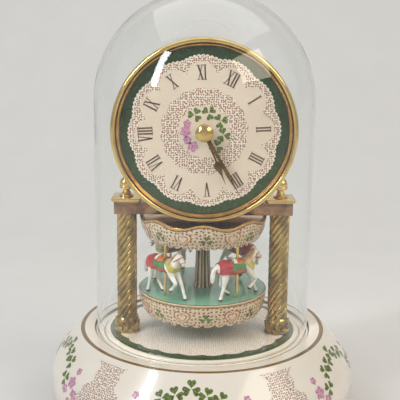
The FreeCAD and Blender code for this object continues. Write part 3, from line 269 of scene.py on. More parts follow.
def round_about_group():
    """Turn, in whole turns from straight up, and reach of a point on a dial or a disc."""
    group, (across, up), result = start_group("round_about", ["Across", "Up"], ["Turn", "Reach"])
    set_sockets(result, Turn=calc("DIVIDE", calc("ARCTAN2", across, up), 2 * pi),
                Reach=calc("SQRT", across ** 2 + up ** 2))
    return group


def lace_group():
    """Needle lace on a flat place: round holes or small dots in a net of pale threads, a little uneven."""
    group, (place, mesh), result = start_group("needle_lace", ["Place", "Mesh"], ["Hole", "Dot", "Thread"])
    finer = calc("DIVIDE", 1.0, mesh)
    for socket, feature, low, high in (("Hole", "F1", 0.44, 0.28), ("Dot", "F1", 0.26, 0.17),
                                       ("Thread", "DISTANCE_TO_EDGE", 0.10, 0.02)):
        cells = group.nodes.new("ShaderNodeTexVoronoi")
        cells.feature, cells.voronoi_dimensions = feature, "2D"
        set_sockets(cells, Vector=place, Scale=finer, Randomness=0.55)
        feed(result.inputs[socket], soft_step(Value(cells.outputs["Distance"]), low, high))
    return group


def glaze_group():
    """Fired glaze: a cloudy tone, a slow ripple and an uneven gloss."""
    group, (place,), result = start_group("fired_glaze", ["Place"], ["Cloud", "Ripple", "Gloss"])
    set_sockets(result, Cloud=noise(place, 0.05, Detail=4.0), Ripple=noise(place, 0.16, Detail=1.0),
                Gloss=noise(place, 0.4, Detail=5.0) * 0.12 + 0.05)
    return group


round_about, needle_lace, fired_glaze = round_about_group(), lace_group(), glaze_group()


def round_axis(place):
    """Turn from the front, in whole turns, and reach of a point about the upright axis."""
    x, y, _ = split(place)
    return use_group(round_about, Across=x, Up=y * -1.0)


def ring_mask(reach, middle, half, blur=0.25):
    """A painted line round the axis."""
    return soft_step(abs(reach - middle), half + blur, half)


def lobes(turn, count, deep=1.0, wave="SINE"):
    """The rise of a lobed edge, with two lobes to each wave."""
    return abs(calc(wave, turn * (2 * pi * count))) * deep


def base_finish():
    material, shader, place = start_finish("glazed_base", IOR=1.52, Coat_Weight=0.6, Coat_Roughness=0.04)
    z = split(place)[2]
    turn, reach = round_axis(place).values()
    cloud, ripple, gloss = use_group(fired_glaze, Place=place).values()
    disc_hole = use_group(needle_lace, Place=place, Mesh=LACE_MESH)["Hole"]
    wall = flat_place(turn * (2 * pi * WALL_REACH), z * WALL_STRETCH)
    wall_hole = use_group(needle_lace, Place=wall, Mesh=LACE_MESH)["Hole"]

    # lace disc inside a green border with scallops
    lace_edge = lobes(turn, *DISC_SCALLOPS) + lobes(turn, *DISC_PICOTS) + DISC_LACE
    on_disc = soft_step(reach, DISC + 0.2, DISC)
    past_lace = on_disc * soft_step(reach - lace_edge, 0.0, 0.3)
    under_lace = on_disc - past_lace

    # lace panels on the shoulder, narrow at the band and wider below
    wedge = turn * SPRAYS + (10 - SPRAY_START * SPRAYS / 360)
    aside = abs(calc("FRACT", wedge) - 0.5)
    waist = abs(PANEL_WAIST - z) ** 1.3 * 0.003
    curl = calc("SINE", z * 0.85) * 0.012
    in_panel = soft_step(aside - (waist + curl + PANEL_HALF), PANEL_BLUR, -PANEL_BLUR)
    below_band = soft_step(z, PANEL_TOP, PANEL_TOP - 1.5) * soft_step(z, PANEL_FOOT, PANEL_FOOT + 2.0)
    panel = below_band * in_panel
    lace = calc("MINIMUM", panel + under_lace, 1.0)
    hole = disc_hole * (under_lace * 0.6) + wall_hole * panel

    colour = mixed(cloud, paint("f3ebde"), paint("ece1cf"))
    colour = mixed(lace, colour, mixed(hole, paint("f0e7da"), paint("a67c60")))
    colour = mixed(past_lace, colour, paint("26401d"))
    # Painted shade lines in the groove's corners, then the gilt band round the edge.
    for middle, half, code in GILT_BAND_AND_GROOVE_SHADE:
        on_top = ring_mask(reach, middle, half) * soft_step(z, GROOVE_FLOOR - 0.8, GROOVE_FLOOR + 0.2)
        colour = mixed(on_top, colour, paint(code))
    set_sockets(shader, Base_Color=colour, Roughness=lace * 0.12 + gloss + 0.1,
                Normal=bumped(ripple * 0.6 - lace * hole, 0.0001, 0.6))
    return material


def spun(points, around):
    """Turn a line of (radius, height) points, in millimetres, about the axis."""
    made = bmesh.new()
    spots = [made.verts.new((point.x * MM, 0, point.y * MM)) for point in points]
    edges = [made.edges.new(pair) for pair in zip(spots, spots[1:])]
    bmesh.ops.spin(made, geom=spots + edges, cent=(0, 0, 0), axis=(0, 0, 1), angle=2 * pi, steps=around,
                   use_merge=True)
    return made


def turned(corners, around=128):
    """A closed shape turned from an outline of (radius, height, rounding) corners."""
    made = spun(rounded(corners), around)
    bmesh.ops.remove_doubles(made, verts=made.verts, dist=1e-6)
    bmesh.ops.recalc_face_normals(made, faces=made.faces)
    return made


def set_in(made, name, finish, body, stands_for=(), place=None, crease=32):
    """Turn a modelled shape into a piece of the clock, on its body, in place of CAD nodes."""
    if place is not None:
        bmesh.ops.transform(made, matrix=place, verts=made.verts)
    data = as_mesh(made, name)
    for material in finish if isinstance(finish, list) else [finish]:
        data.materials.append(material)
    data.shade_smooth()
    data.set_sharp_from_angle(angle=radians(crease))
    piece = add_object(name, data)
    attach(piece, body)
    if stands_for:
        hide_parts(*stands_for)


BASE_TOP = [(BUSH_HOLE, CEILING, 0), (BUSH_HOLE, DECK, 0), (DISC, DECK, 0.7), (DISC, LEDGE, 0),
            (GROOVE_IN, LEDGE, 0.5), (GROOVE_IN, GROOVE_FLOOR, 0), (GROOVE_OUT, GROOVE_FLOOR, 0),
            (GROOVE_OUT, DECK_EDGE, 0.6)]
BASE_INSIDE = [(RIM - 1.5, 1.5, 0.4), (RIM_IN, 1.5, 0.4), (RIM_IN, 18, 0), (79, 18, 0), (79, 21, 0),
               (92, 25, 0), (88, 40, 0), (74, CEILING, 0), (BUSH_HOLE, CEILING, 0)]
set_in(turned(BASE_TOP + OUTER_WALL + BASE_INSIDE, 192), "glazed_base", base_finish(), "base",
       ["porcelain_base"])

# Sprays on the base: fired transfers of three-part leaves with small five-petal blossoms at their ends,
# laid on the glaze, so thin that only their edges catch the light.
PRINT_LIFT = 0.10
SPRAY_DOWN, SPRAY_LEAVES, LEAF_STEP, LEAF_TURN = 20.0, 7, 24, 18
ARCH_HALF, ARCH_TALL, ARCH_DROP, ARCH_WEAVE = 24, 20, 12, 2.5
BUNCH = ((33, -5, 4.2), (27, -11, 3.4), (38, -11, 3.4), (34, 3, 2.6), (33, -17, 2.6))  # across, up, size


def heart(angle):
    """Outline of a heart, its notch at the top and its tip one unit below the middle."""
    up = 13 * cos(angle) - 5 * cos(2 * angle) - 2 * cos(3 * angle) - cos(4 * angle)
    return 16 * sin(angle) ** 3 / 17, up / 17


def blossom(angle):
    """Outline of five round petals."""
    reach = 0.66 + 0.34 * abs(cos(2.5 * angle))
    return reach * sin(angle), reach * cos(angle)


def walk_along(corners):
    """A function giving the spot and the outward direction at a distance along an outline."""
    points = rounded(corners)

    def at(distance):
        for start, end in zip(points, points[1:]):
            run = (end - start).length
            if distance <= run:
                break
            distance -= run
        along = (end - start).normalized()
        return start + along * distance, Vector((-along.y, along.x))
    return at


def spot_round(reach, angle, level):
    """A spot at a reach and an angle from the front, its millimetres turned to metres."""
    return Vector((reach * sin(angle), -reach * cos(angle), level)) * MM


def wrap_on(walk, bearing, down, lift=PRINT_LIFT):
    """A function that lays flat (right, up) millimetres on a turned wall at a bearing from the front."""
    def lay(right, up):
        spot, out = walk(down - up)
        angle = radians(bearing) + right / walk(down)[0].x
        reach, height = spot + out * lift
        return spot_round(reach, angle, height)
    return lay


def motif(made, shape, lay, spot, size, tilt=0.0, points=24):
    """Print one small flat figure, given by its outline, through a laying function."""
    start = len(made.verts)
    rim = bmesh.ops.create_circle(made, cap_ends=True, cap_tris=True, segments=points, radius=1.0)["verts"]
    spokes = list(dict.fromkeys(edge for vert in rim for edge in vert.link_edges if not edge.is_boundary))
    bmesh.ops.subdivide_edges(made, edges=spokes, cuts=1)
    made.verts.ensure_lookup_table()
    turn = Matrix.Rotation(radians(-tilt), 2)
    for vert in made.verts[start:]:
        reach = hypot(vert.co.x, vert.co.y)
        flat = Vector(shape(atan2(vert.co.x, vert.co.y))) * reach * size if reach > 1e-6 else Vector((0, 0))
        right, up = Vector(spot) + turn @ flat
        vert.co = lay(right, up)


def trefoil(made, lay, spot, size, tilt=0.0):
    """Three heart leaflets with their tips together."""
    for lean in (-112, 0, 112):
        heading = radians(tilt + lean)
        middle = Vector(spot) + Vector((sin(heading), cos(heading))) * size * 1.08
        motif(made, heart, lay, middle, size, tilt + lean)


def print_finish(name, dark, light, gloss=0.22):
    """Transfer ink: one colour, darker and lighter in small patches."""
    material, shader, place = start_finish(name, Roughness=gloss, Coat_Weight=0.3, Coat_Roughness=0.08)
    patch = noise(place, 0.9, Detail=3.0)
    set_sockets(shader, Base_Color=mixed(soft_step(patch, 0.35, 0.65), paint(dark), paint(light)),
                Normal=bumped(patch, 0.00004))
    return material


leaf_ink = print_finish("leaf_ink", "46591f", "788a45")
blossom_ink = print_finish("blossom_ink", "b06c8e", "dfaec2")
outer_wall = walk_along(OUTER_WALL)
leaves, blossoms = bmesh.new(), bmesh.new()
for spray in range(SPRAYS):
    lay = wrap_on(outer_wall, SPRAY_START + spray * 360 / SPRAYS, SPRAY_DOWN)
    for number in range(SPRAY_LEAVES):
        from_middle = number - SPRAY_LEAVES // 2
        swing = radians(LEAF_STEP * from_middle)
        weave = ARCH_WEAVE if number % 2 else 0
        spot = (ARCH_HALF * sin(swing), ARCH_TALL * cos(swing) - ARCH_DROP + weave)
        trefoil(leaves, lay, spot, 3.1 - 0.5 * abs(sin(swing)), LEAF_TURN * from_middle)
    for side in (-1, 1):
        for across, up, size in BUNCH:
            motif(blossoms, blossom, lay, (side * across, up), size, 20 * across)
set_in(leaves, "base_leaf_print", leaf_ink, "base")
set_in(blossoms, "base_blossom_print", blossom_ink, "base")

# Rope-twist columns: cast brass with ten strands wound to the right, polished and lacquered,
# clamped between the deck and the beam by a rod through the middle.
COLUMN_X, COLUMN_Y, COLUMN_R, STRANDS, STRAND_DEPTH, COLUMN_LEAD = 48.8, -11.2, 6.4, 10, 1.15, 50.0
BEAM_LOW, BEAM_TALL = 135.5, 8.0
STRAND_STEPS, RISE_STEPS = 10, 90


def metal_group():
    """Lacquered metal: slow clouds of tone and fine polishing haze."""
    group, (place,), result = start_group("lacquered_metal", ["Place"], ["Cloud", "Haze"])
    cloud = noise(place, 0.09, Detail=5.0, Roughness=0.6)
    set_sockets(result, Cloud=soft_step(cloud, 0.38, 0.66), Haze=noise(place, 2.2, Detail=3.0))
    return group


lacquered_metal = metal_group()


def metal_finish(name, bright, dull, low_gloss, high_gloss):
    material, shader, place = start_finish(name, Metallic=1.0, Coat_Weight=0.25, Coat_Roughness=0.05)
    cloud, haze = use_group(lacquered_metal, Place=place).values()
    set_sockets(shader, Base_Color=mixed(cloud, paint(bright), paint(dull)),
                Roughness=cloud * (high_gloss - low_gloss) + low_gloss, Normal=bumped(haze, 0.00002))
    return material


column_brass = metal_finish("column_brass", "cbae68", "8d7138", 0.10, 0.2)


def strand_reach(turn):
    """Section of the twist: a ring of round strands with sharp valleys."""
    across = 2 * (turn * STRANDS % 1) - 1
    return COLUMN_R - STRAND_DEPTH + STRAND_DEPTH * sqrt(max(0.0, 1 - across * across))


def on_column(sign, level):
    """A spot on the axis of the left (-1) or right (1) column, at a level in millimetres."""
    return Vector((sign * COLUMN_X, COLUMN_Y, level)) * MM


for side, sign in (("left", -1), ("right", 1)):
    twist = bmesh.new()
    ring = bmesh.ops.create_circle(twist, segments=STRANDS * STRAND_STEPS, radius=1.0)["verts"]
    for vert in ring:
        reach = strand_reach(atan2(vert.co.y, vert.co.x) / (2 * pi) + 1) * MM
        vert.co.x, vert.co.y = vert.co.x * reach, vert.co.y * reach
    tall = BEAM_LOW - DECK
    bmesh.ops.spin(twist, geom=list(twist.verts) + list(twist.edges), cent=(0, 0, 0), axis=(0, 0, 1),
                   dvec=(0, 0, tall * MM / RISE_STEPS), angle=2 * pi * tall / COLUMN_LEAD, steps=RISE_STEPS)
    bmesh.ops.recalc_face_normals(twist, faces=twist.faces)
    bmesh.ops.holes_fill(twist, edges=[edge for edge in twist.edges if edge.is_boundary], sides=0)
    set_in(twist, f"{side}_twist", column_brass, "base", [f"{side}_column"],
           Matrix.Translation(on_column(sign, DECK)), 60)

# Leaf collars: brass cups round the column feet, stamped with two rows of pointed leaves that curl outwards.
# They stand on the deck, and the columns pass through them.
COLLAR_TALL, COLLAR_LEAVES = 10.0, 9
COLLAR_CUP = [(COLUMN_R, 0, 0), (COLUMN_R + 1.8, 0, 0.3), (COLUMN_R + 1.8, 1.2, 0.5),
              (COLUMN_R + 0.9, 1.7, 0.3), (COLUMN_R + 0.5, 6.0, 2.0), (COLUMN_R + 0.6, COLLAR_TALL - 1, 0.3),
              (COLUMN_R, COLLAR_TALL, 0)]


def curled_leaf(made, bearing, foot, tall, wide, curl, lift):
    """One pointed leaf with a raised rib, standing on a circle and curling out at its tip."""
    start = len(made.verts)
    bmesh.ops.create_grid(made, x_segments=4, y_segments=7, size=1.0)
    made.verts.ensure_lookup_table()
    for vert in made.verts[start:]:
        across, along = vert.co.x, (vert.co.y + 1) / 2
        half = wide * (1 - along ** 2.2) ** 0.7 * (0.8 + 0.5 * along)
        reach = foot + lift + curl * along ** 3 + 0.5 * (1 - abs(across)) - 0.4 * across ** 2
        angle = radians(bearing) + across * half / foot
        vert.co = spot_round(reach, angle, tall * along)


def gather(parts):
    """Join shapes into one, each with its own material number."""
    whole = bmesh.new()
    for number, part in parts:
        for face in part.faces:
            face.material_index = number
        holder = as_mesh(part, "part")
        whole.from_mesh(holder)
        bpy.data.meshes.remove(holder)
    return whole


collar_parts = []
for sign in (-1, 1):
    foliage = bmesh.new()
    for number in range(COLLAR_LEAVES):
        step = 360 / COLLAR_LEAVES
        curled_leaf(foliage, number * step, COLUMN_R + 0.4, COLLAR_TALL, 2.2, 0.4, 0.1)
        curled_leaf(foliage, (number + 0.5) * step, COLUMN_R + 0.6, COLLAR_TALL * 0.72, 2.2, 0.5, 0.35)
    for part in (turned(COLLAR_CUP, 64), foliage):
        bmesh.ops.translate(part, verts=part.verts, vec=on_column(sign, DECK))
        collar_parts.append((0, part))
set_in(gather(collar_parts), "leaf_collars", column_brass, "base", ["column_collars"])

# Crossbeam with a square block over each column, cap plates and acorn finials: cast brass, lacquered,
# all threaded on the tie rods and pulled down by the finials.
BEAM_FRONT, BEAM_BACK, BLOCK, CAP, CAP_FOOT, CAP_TALL = -18.0, 7.0, 14.8, 18.0, 16.4, 2.5
BEAM_MIDDLE, BEAM_TOP = BEAM_LOW + BEAM_TALL / 2, BEAM_LOW + BEAM_TALL


def slab(made, middle, sizes, soften):
    """A block of sizes in millimetres with softened edges, its middle at a spot in metres."""
    corners = bmesh.ops.create_cube(made, size=1.0, matrix=Matrix.Translation(middle)
                                    @ Matrix.Diagonal((*[size * MM for size in sizes], 1.0)))["verts"]
    rims = {edge for vert in corners for edge in vert.link_edges}
    bmesh.ops.bevel(made, geom=list(rims), offset=soften * MM, offset_type="OFFSET", affect="EDGES",
                    segments=3, profile=0.5, material=-1, clamp_overlap=True)


beam_brass = metal_finish("beam_brass", "b58a64", "7b5440", 0.06, 0.14)
polished_brass = metal_finish("polished_brass", "edcf83", "deb968", 0.08, 0.16)
ACORN_OUTLINE = [(0, 0, 0), (4.6, 0, 0.2), (4.6, 1.2, 0.4), (3.4, 1.8, 0.5), (2.1, 3.4, 1.6), (2.1, 4.6, 0.6),
                 (4.3, 5.2, 0.5), (4.6, 6.6, 0.5), (4.1, 7.0, 0.3), (4.4, 8.6, 1.5), (3.4, 11.6, 3.5),
                 (1.2, 12.3, 0.8), (0.9, 13.2, 0.4), (0, 13.6, 0)]
beam, caps, acorns = bmesh.new(), bmesh.new(), []
slab(beam, Vector((0, (BEAM_FRONT + BEAM_BACK) / 2, BEAM_MIDDLE)) * MM,
     (2 * COLUMN_X, BEAM_BACK - BEAM_FRONT, BEAM_TALL), 0.6)
for sign in (-1, 1):
    slab(beam, on_column(sign, BEAM_MIDDLE), (BLOCK, BLOCK, BEAM_TALL - 0.02), 0.5)
    slab(caps, on_column(sign, BEAM_TOP + 1.65), (CAP, CAP, 1.7), 0.55)
    slab(caps, on_column(sign, BEAM_TOP + 0.45), (CAP_FOOT, CAP_FOOT, 0.9), 0.2)
    acorn = turned(ACORN_OUTLINE, 48)
    bmesh.ops.translate(acorn, verts=acorn.verts, vec=on_column(sign, BEAM_TOP + CAP_TALL))
    acorns.append((0, acorn))
set_in(beam, "cast_beam", beam_brass, "base", ["crossbeam"])
set_in(caps, "cap_plates", polished_brass, "base", ["column_caps"])
set_in(gather(acorns), "acorn_finials", polished_brass, "base", ["finials"], crease=45)

# Carousel platform: a turned disc with a mint enamel top and a gilt edge.
# Its hub fixes it to the spindle, which turns it.
PLATFORM_TOP, PLATFORM_R, PLATFORM_THICK, PLATFORM_STEP, SPINDLE_R = 83.5, 42.0, 3.0, 0.8, 1.5
PLATFORM_LOW, PLATFORM_FOOT_R = PLATFORM_TOP - PLATFORM_THICK, PLATFORM_R - 1.6
LEDGE_LOW = PLATFORM_LOW + PLATFORM_STEP


def enamel_group():
    """Brushed-on enamel: soft streaks and small dust nibs."""
    group, (place,), result = start_group("brushed_enamel", ["Place"], ["Streak", "Nib"])
    set_sockets(result, Streak=noise(place, 0.22, Detail=5.0), Nib=noise(place, 1.6, Detail=2.0))
    return group


brushed_enamel = enamel_group()
NIB_TALL = 0.00003


def platform_finish():
    material, shader, place = start_finish("platform_enamel", Coat_Weight=0.5, Coat_Roughness=0.05)
    reach = round_axis(place)["Reach"]
    streak, nib = use_group(brushed_enamel, Place=place).values()
    colour = mixed(streak, paint("639f83"), paint("7cb497"))
    colour = mixed(soft_step(reach, PLATFORM_R - 0.9, PLATFORM_R - 0.6), colour, paint("e9d9bd"))
    colour = mixed(ring_mask(reach, PLATFORM_R - 0.7, 0.4), colour, paint("5f4426"))
    set_sockets(shader, Base_Color=colour, Roughness=streak * 0.15 + 0.12, Normal=bumped(nib, NIB_TALL))
    return material


PLATFORM = [(SPINDLE_R, PLATFORM_LOW, 0), (PLATFORM_FOOT_R, PLATFORM_LOW, 0.1),
            (PLATFORM_FOOT_R, LEDGE_LOW, 0), (PLATFORM_R, LEDGE_LOW, 0.4),
            (PLATFORM_R, PLATFORM_TOP, 0.6), (SPINDLE_R, PLATFORM_TOP, 0), (SPINDLE_R, PLATFORM_LOW, 0)]
set_in(turned(PLATFORM), "enamel_platform", platform_finish(), "carousel", ["platform"])

# Skirt and valance: two rings of lace-pierced porcelain, cast thin, with hearts and clovers in relief.
# The skirt hangs under the platform's edge; the valance stands round the roof with a waved upper edge.
LACE_WALL, REPEATS, WAVE = 1.6, 8, 1.6
RING_REACH, RING_STRETCH, COARSE_MESH, FINE_MESH = 40.0, 1.1, 2.6, 0.95
SKIRT = [(37.5, 67.4, 0), (40.9, 74.0, 20), (42.2, 83.0, 0)]
VALANCE = [(36.5, 117.5, 0), (40.2, 125.0, 20), (41.5, 134.0, 0)]
HEART_TURN, CLOVER_TURN = 27, 3


def lace_ring_finish(name, top, wave):
    """Cream lace with dark holes between its threads, and a gilt line along its waved upper edge."""
    material, shader, place = start_finish(name, Coat_Weight=0.35, Coat_Roughness=0.1)
    z = split(place)[2]
    turn = round_axis(place)["Turn"]
    wall = flat_place(turn * (2 * pi * RING_REACH), z * RING_STRETCH)
    lace = use_group(needle_lace, Place=wall, Mesh=COARSE_MESH)
    fine_hole = use_group(needle_lace, Place=wall, Mesh=FINE_MESH)["Hole"]
    colour = mixed(fine_hole, paint("ebd6b6"), paint("c2966a"))
    colour = mixed(lace["Thread"], colour, paint("f0e3c8"))
    colour = mixed(lace["Dot"], colour, paint("5f4026"))
    below_edge = calc("COSINE", turn * (2 * pi * REPEATS)) * wave + (top - wave) - z
    colour = mixed(ring_mask(below_edge, 1.0, 0.3), colour, paint("8a6434"))
    colour = mixed(soft_step(below_edge, 0.45, 0.35), colour, paint("c79b54"))
    set_sockets(shader, Base_Color=colour, Roughness=use_group(fired_glaze, Place=place)["Gloss"] + 0.16,
                Normal=bumped(lace["Thread"] * 0.5 - lace["Dot"], 0.0003))
    return material


def lace_ring(outline, shift, around=320):
    """A thin ring turned from its outer outline, shifted up by bearing and share of height."""
    points = rounded(outline)
    made = spun(points, around)
    low, high = points[0].y, points[-1].y
    for vert in made.verts:
        share = (vert.co.z / MM - low) / (high - low)
        bearing = atan2(vert.co.x, -vert.co.y)
        vert.co.z += shift(bearing, share) * MM
    bmesh.ops.recalc_face_normals(made, faces=made.faces)
    bmesh.ops.solidify(made, geom=list(made.faces), thickness=LACE_WALL * MM)
    return made


def skirt_shift(bearing, share):
    return (1 - share) ** 3 * 1.5 * (1 - abs(sin(16 * bearing)))


def valance_shift(bearing, share):
    scallops = (1 - share) ** 6 * 1.2 * (1 - abs(sin(24 * bearing)))
    return share ** 4 * WAVE * (cos(REPEATS * bearing) - 1) + scallops


set_in(lace_ring(SKIRT, skirt_shift), "lace_skirt", lace_ring_finish("skirt_lace", SKIRT[-1][1], 0.0),
       "carousel", ["platform_skirt"])
set_in(lace_ring(VALANCE, valance_shift), "lace_valance",
       lace_ring_finish("valance_lace", VALANCE[-1][1], WAVE), "carousel",
       ["canopy_valance"])
hearts, heart_middles, clovers = bmesh.new(), bmesh.new(), bmesh.new()
for outline, down in ((SKIRT, 8.7), (VALANCE, 9.6)):
    walk = walk_along(outline[::-1])
    for number in range(REPEATS):
        bearing = number * 360 / REPEATS
        for layer, (size, made) in enumerate(((6.0, hearts), (5.0, heart_middles), (3.6, hearts),
                                              (2.7, heart_middles)), 1):
            motif(made, heart, wrap_on(walk, bearing + HEART_TURN, down, layer * PRINT_LIFT), (0, 0.3), size)
        trefoil(clovers, wrap_on(walk, bearing + CLOVER_TURN, down), (0, -0.6), 2.0)
set_in(hearts, "lace_hearts", print_finish("heart_ink", "a9563f", "c98468"), "carousel")
set_in(heart_middles, "lace_heart_middles", print_finish("heart_pale", "e2c7a3", "eeddc2"), "carousel")
set_in(clovers, "lace_clovers", leaf_ink, "carousel")

# Canopy roof: a shallow disc spun from brass sheet, the whole roof painted a darker, browner brass as painted
# shade from the clock head and beam above it.
# It lies inside the valance and is held on the spindle by a nut.
ROOF, ROOF_R, ROOF_RISE = 130.4, 39.2, 1.9
ROOF_OUTLINE = [(SPINDLE_R, ROOF, 0), (ROOF_R, ROOF, 0.2), (ROOF_R, ROOF + 1.0, 0.3),
                (14, ROOF + ROOF_RISE, 6.0), (SPINDLE_R, ROOF + ROOF_RISE, 0), (SPINDLE_R, ROOF, 0)]
set_in(turned(ROOF_OUTLINE), "spun_roof", metal_finish("shade_darkened_brass", "c99c60", "946a3a", 0.06, 0.15),
       "carousel", ["canopy_roof"])

# Centre column: a tapered round post painted in brown, cream and dark stripes.
# It stands round the spindle between the platform and the roof.
POST_LOW, POST_HIGH, POST_LIP, STRIPES = 5.6, 3.6, 0.8, 14


def post_finish():
    material, shader, place = start_finish("striped_post", Coat_Weight=0.4, Coat_Roughness=0.06)
    turn = round_axis(place)["Turn"]
    streak, nib = use_group(brushed_enamel, Place=place).values()
    stripe, wide = [calc("SINE", turn * (2 * pi * count)) for count in (STRIPES, STRIPES / 2)]
    colour = mixed(soft_step(stripe, -0.2, 0.2), paint("6b4526"), paint("d8c49a"))
    colour = mixed(soft_step(wide, 0.75, 0.9), colour, paint("2b1c12"))
    set_sockets(shader, Base_Color=colour, Roughness=streak * 0.2 + 0.15, Normal=bumped(nib, NIB_TALL))
    return material


POST = [(SPINDLE_R, PLATFORM_TOP, 0), (POST_LOW + POST_LIP, PLATFORM_TOP, 0.2),
        (POST_LOW + POST_LIP, PLATFORM_TOP + 1.2, 0.5), (POST_LOW, PLATFORM_TOP + 2.4, 0.5),
        (POST_HIGH, ROOF - 2, 0.5), (POST_HIGH + POST_LIP, ROOF - 1, 0.2), (POST_HIGH + POST_LIP, ROOF, 0),
        (SPINDLE_R, ROOF, 0), (SPINDLE_R, PLATFORM_TOP, 0)]
set_in(turned(POST, STRIPES * 8), "striped_post", post_finish(), "carousel",
       ["centre_column"])

# Horses: cast resin, enamelled white, in a walking step with one foreleg raised. Each wears a red rump cover,
# a green saddle cloth, an orange saddle and girth and a yellow collar, and hangs on a brass pole.
HORSE, HORSE_RING, HORSE_LIFT, SKIN_FULLNESS = 31.0, 32.5, 0.05, 1.12
HORSES = {  # where each stands round the axis and where it heads, in degrees
    "front_left": (-47.0, -46.0), "front_right": (42.0, 31.0), "back_right": (133.0, 133.0),
    "back_left": (-137.0, -137.0)}
TRUNK = [  # forward, sideways, up and thickness, in horse heights
    (-0.46, 0, 0.68, 0.105), (-0.36, 0, 0.685, 0.145), (-0.19, 0, 0.665, 0.138), (-0.02, 0, 0.65, 0.135),
    (0.13, 0, 0.655, 0.138), (0.245, 0, 0.68, 0.132), (0.315, 0, 0.765, 0.108), (0.365, 0, 0.85, 0.084),
    (0.41, 0, 0.92, 0.066), (0.455, 0, 0.915, 0.060), (0.505, 0, 0.84, 0.049), (0.55, 0, 0.775, 0.040),
    (0.568, 0, 0.742, 0.029)]
TAIL = [(-0.53, 0, 0.70, 0.036), (-0.575, 0, 0.62, 0.045), (-0.59, 0, 0.50, 0.050), (-0.60, 0, 0.38, 0.028)]
HIP, MIDDLE, SHOULDER_BONE = 1, 2, 5  # places in the trunk
LEGS = [  # where it joins the trunk, then stifle or elbow, forearm, hock or knee, cannon, fetlock and hoof
    (HIP, [(-0.30, 0.085, 0.53, 0.080), (-0.29, 0.088, 0.43, 0.062), (-0.345, 0.085, 0.29, 0.038),
           (-0.24, 0.083, 0.16, 0.029), (-0.175, 0.083, 0.09, 0.038), (-0.145, 0.083, 0.055, 0.044)]),
    (HIP, [(-0.34, -0.085, 0.53, 0.080), (-0.345, -0.088, 0.43, 0.062), (-0.37, -0.085, 0.29, 0.037),
           (-0.425, -0.083, 0.12, 0.028), (-0.445, -0.083, 0.05, 0.038), (-0.45, -0.083, 0.015, 0.045)]),
    (SHOULDER_BONE, [(0.26, 0.08, 0.54, 0.068), (0.335, 0.078, 0.43, 0.048), (0.42, 0.075, 0.30, 0.037),
                     (0.49, 0.075, 0.12, 0.027), (0.52, 0.075, 0.05, 0.038), (0.53, 0.075, 0.015, 0.044)]),
    (SHOULDER_BONE, [(0.25, -0.08, 0.54, 0.068), (0.33, -0.078, 0.44, 0.050), (0.41, -0.075, 0.355, 0.038),
                     (0.33, -0.075, 0.26, 0.028), (0.26, -0.075, 0.20, 0.036), (0.23, -0.075, 0.165, 0.041)])]


def horse_shape():
    """One horse carved from a skin over its bones, facing +X, standing on its hooves at the origin."""
    bones = bmesh.new()
    thick = []

    def grow(start, chain):
        last = start
        for forward, aside, up, radius in chain:
            vert = bones.verts.new(Vector((forward, aside, up)) * HORSE * MM)
            thick.append(radius * HORSE * MM)
            if last is not None:
                bones.edges.new((last, vert))
            last = vert
        bones.verts.ensure_lookup_table()

    grow(None, TRUNK)
    grow(bones.verts[0], TAIL)
    for joint, chain in LEGS:
        grow(bones.verts[joint], chain)
    holder = add_object("horse_bones", as_mesh(bones, "horse_bones"))
    skin = holder.modifiers.new("skin", "SKIN")
    skin.use_smooth_shade = True
    joints = holder.data.skin_vertices[0].data
    for joint, radius in zip(joints, thick):
        joint.radius = (radius * SKIN_FULLNESS, radius * SKIN_FULLNESS)
    joints[MIDDLE].use_root = True
    smooth = holder.modifiers.new("smooth", "SUBSURF")
    smooth.levels = smooth.render_levels = 2
    bpy.context.view_layer.update()
    shaped = bpy.data.meshes.new_from_object(holder.evaluated_get(bpy.context.evaluated_depsgraph_get()))
    made = bmesh.new()
    made.from_mesh(shaped)
    bpy.data.objects.remove(holder)
    bpy.data.meshes.remove(shaped)
    bmesh.ops.recalc_face_normals(made, faces=made.faces)
    return made


horse = horse_shape()


def cloth(keep, rise, thickness):
    """A cover that follows the horse's skin a little way off it, behind each (point, direction) plane."""
    made = horse.copy()
    for point, direction in keep:
        bmesh.ops.bisect_plane(made, geom=list(made.verts) + list(made.edges) + list(made.faces), dist=1e-7,
                               plane_co=Vector(point) * HORSE * MM, plane_no=direction, clear_outer=True)
    bmesh.ops.remove_doubles(made, verts=made.verts, dist=0.12 * MM)
    bmesh.ops.dissolve_degenerate(made, edges=made.edges, dist=0.02 * MM)
    made.normal_update()
    for vert, normal in [(vert, vert.normal.copy()) for vert in made.verts]:
        vert.co += normal * rise * MM
    made.normal_update()
    raised = bmesh.ops.extrude_face_region(made, geom=list(made.faces), use_keep_orig=True)["geom"]
    lifts = {}
    for face in (item for item in raised if isinstance(item, bmesh.types.BMFace)):
        for vert in face.verts:
            lifts[vert] = lifts.get(vert, Vector((0, 0, 0))) + face.normal * face.calc_area()
    for vert, lift in lifts.items():
        vert.co += lift.normalized() * thickness * MM
    bmesh.ops.recalc_face_normals(made, faces=made.faces)
    return made


def behind(forward):
    return (forward, 0, 0), (1, 0, 0)


def ahead(forward):
    return (forward, 0, 0), (-1, 0, 0)


def above(level):
    return (0, 0, level), (0, 0, -1)


def below(level):
    return (0, 0, level), (0, 0, 1)


def enamel_finish(name, dark, light, gloss=0.2):
    material, shader, place = start_finish(name, Roughness=gloss, Coat_Weight=0.4, Coat_Roughness=0.06)
    streak, nib = use_group(brushed_enamel, Place=place).values()
    set_sockets(shader, Base_Color=mixed(soft_step(streak, 0.35, 0.65), paint(dark), paint(light)),
                Normal=bumped(nib, NIB_TALL))
    return material


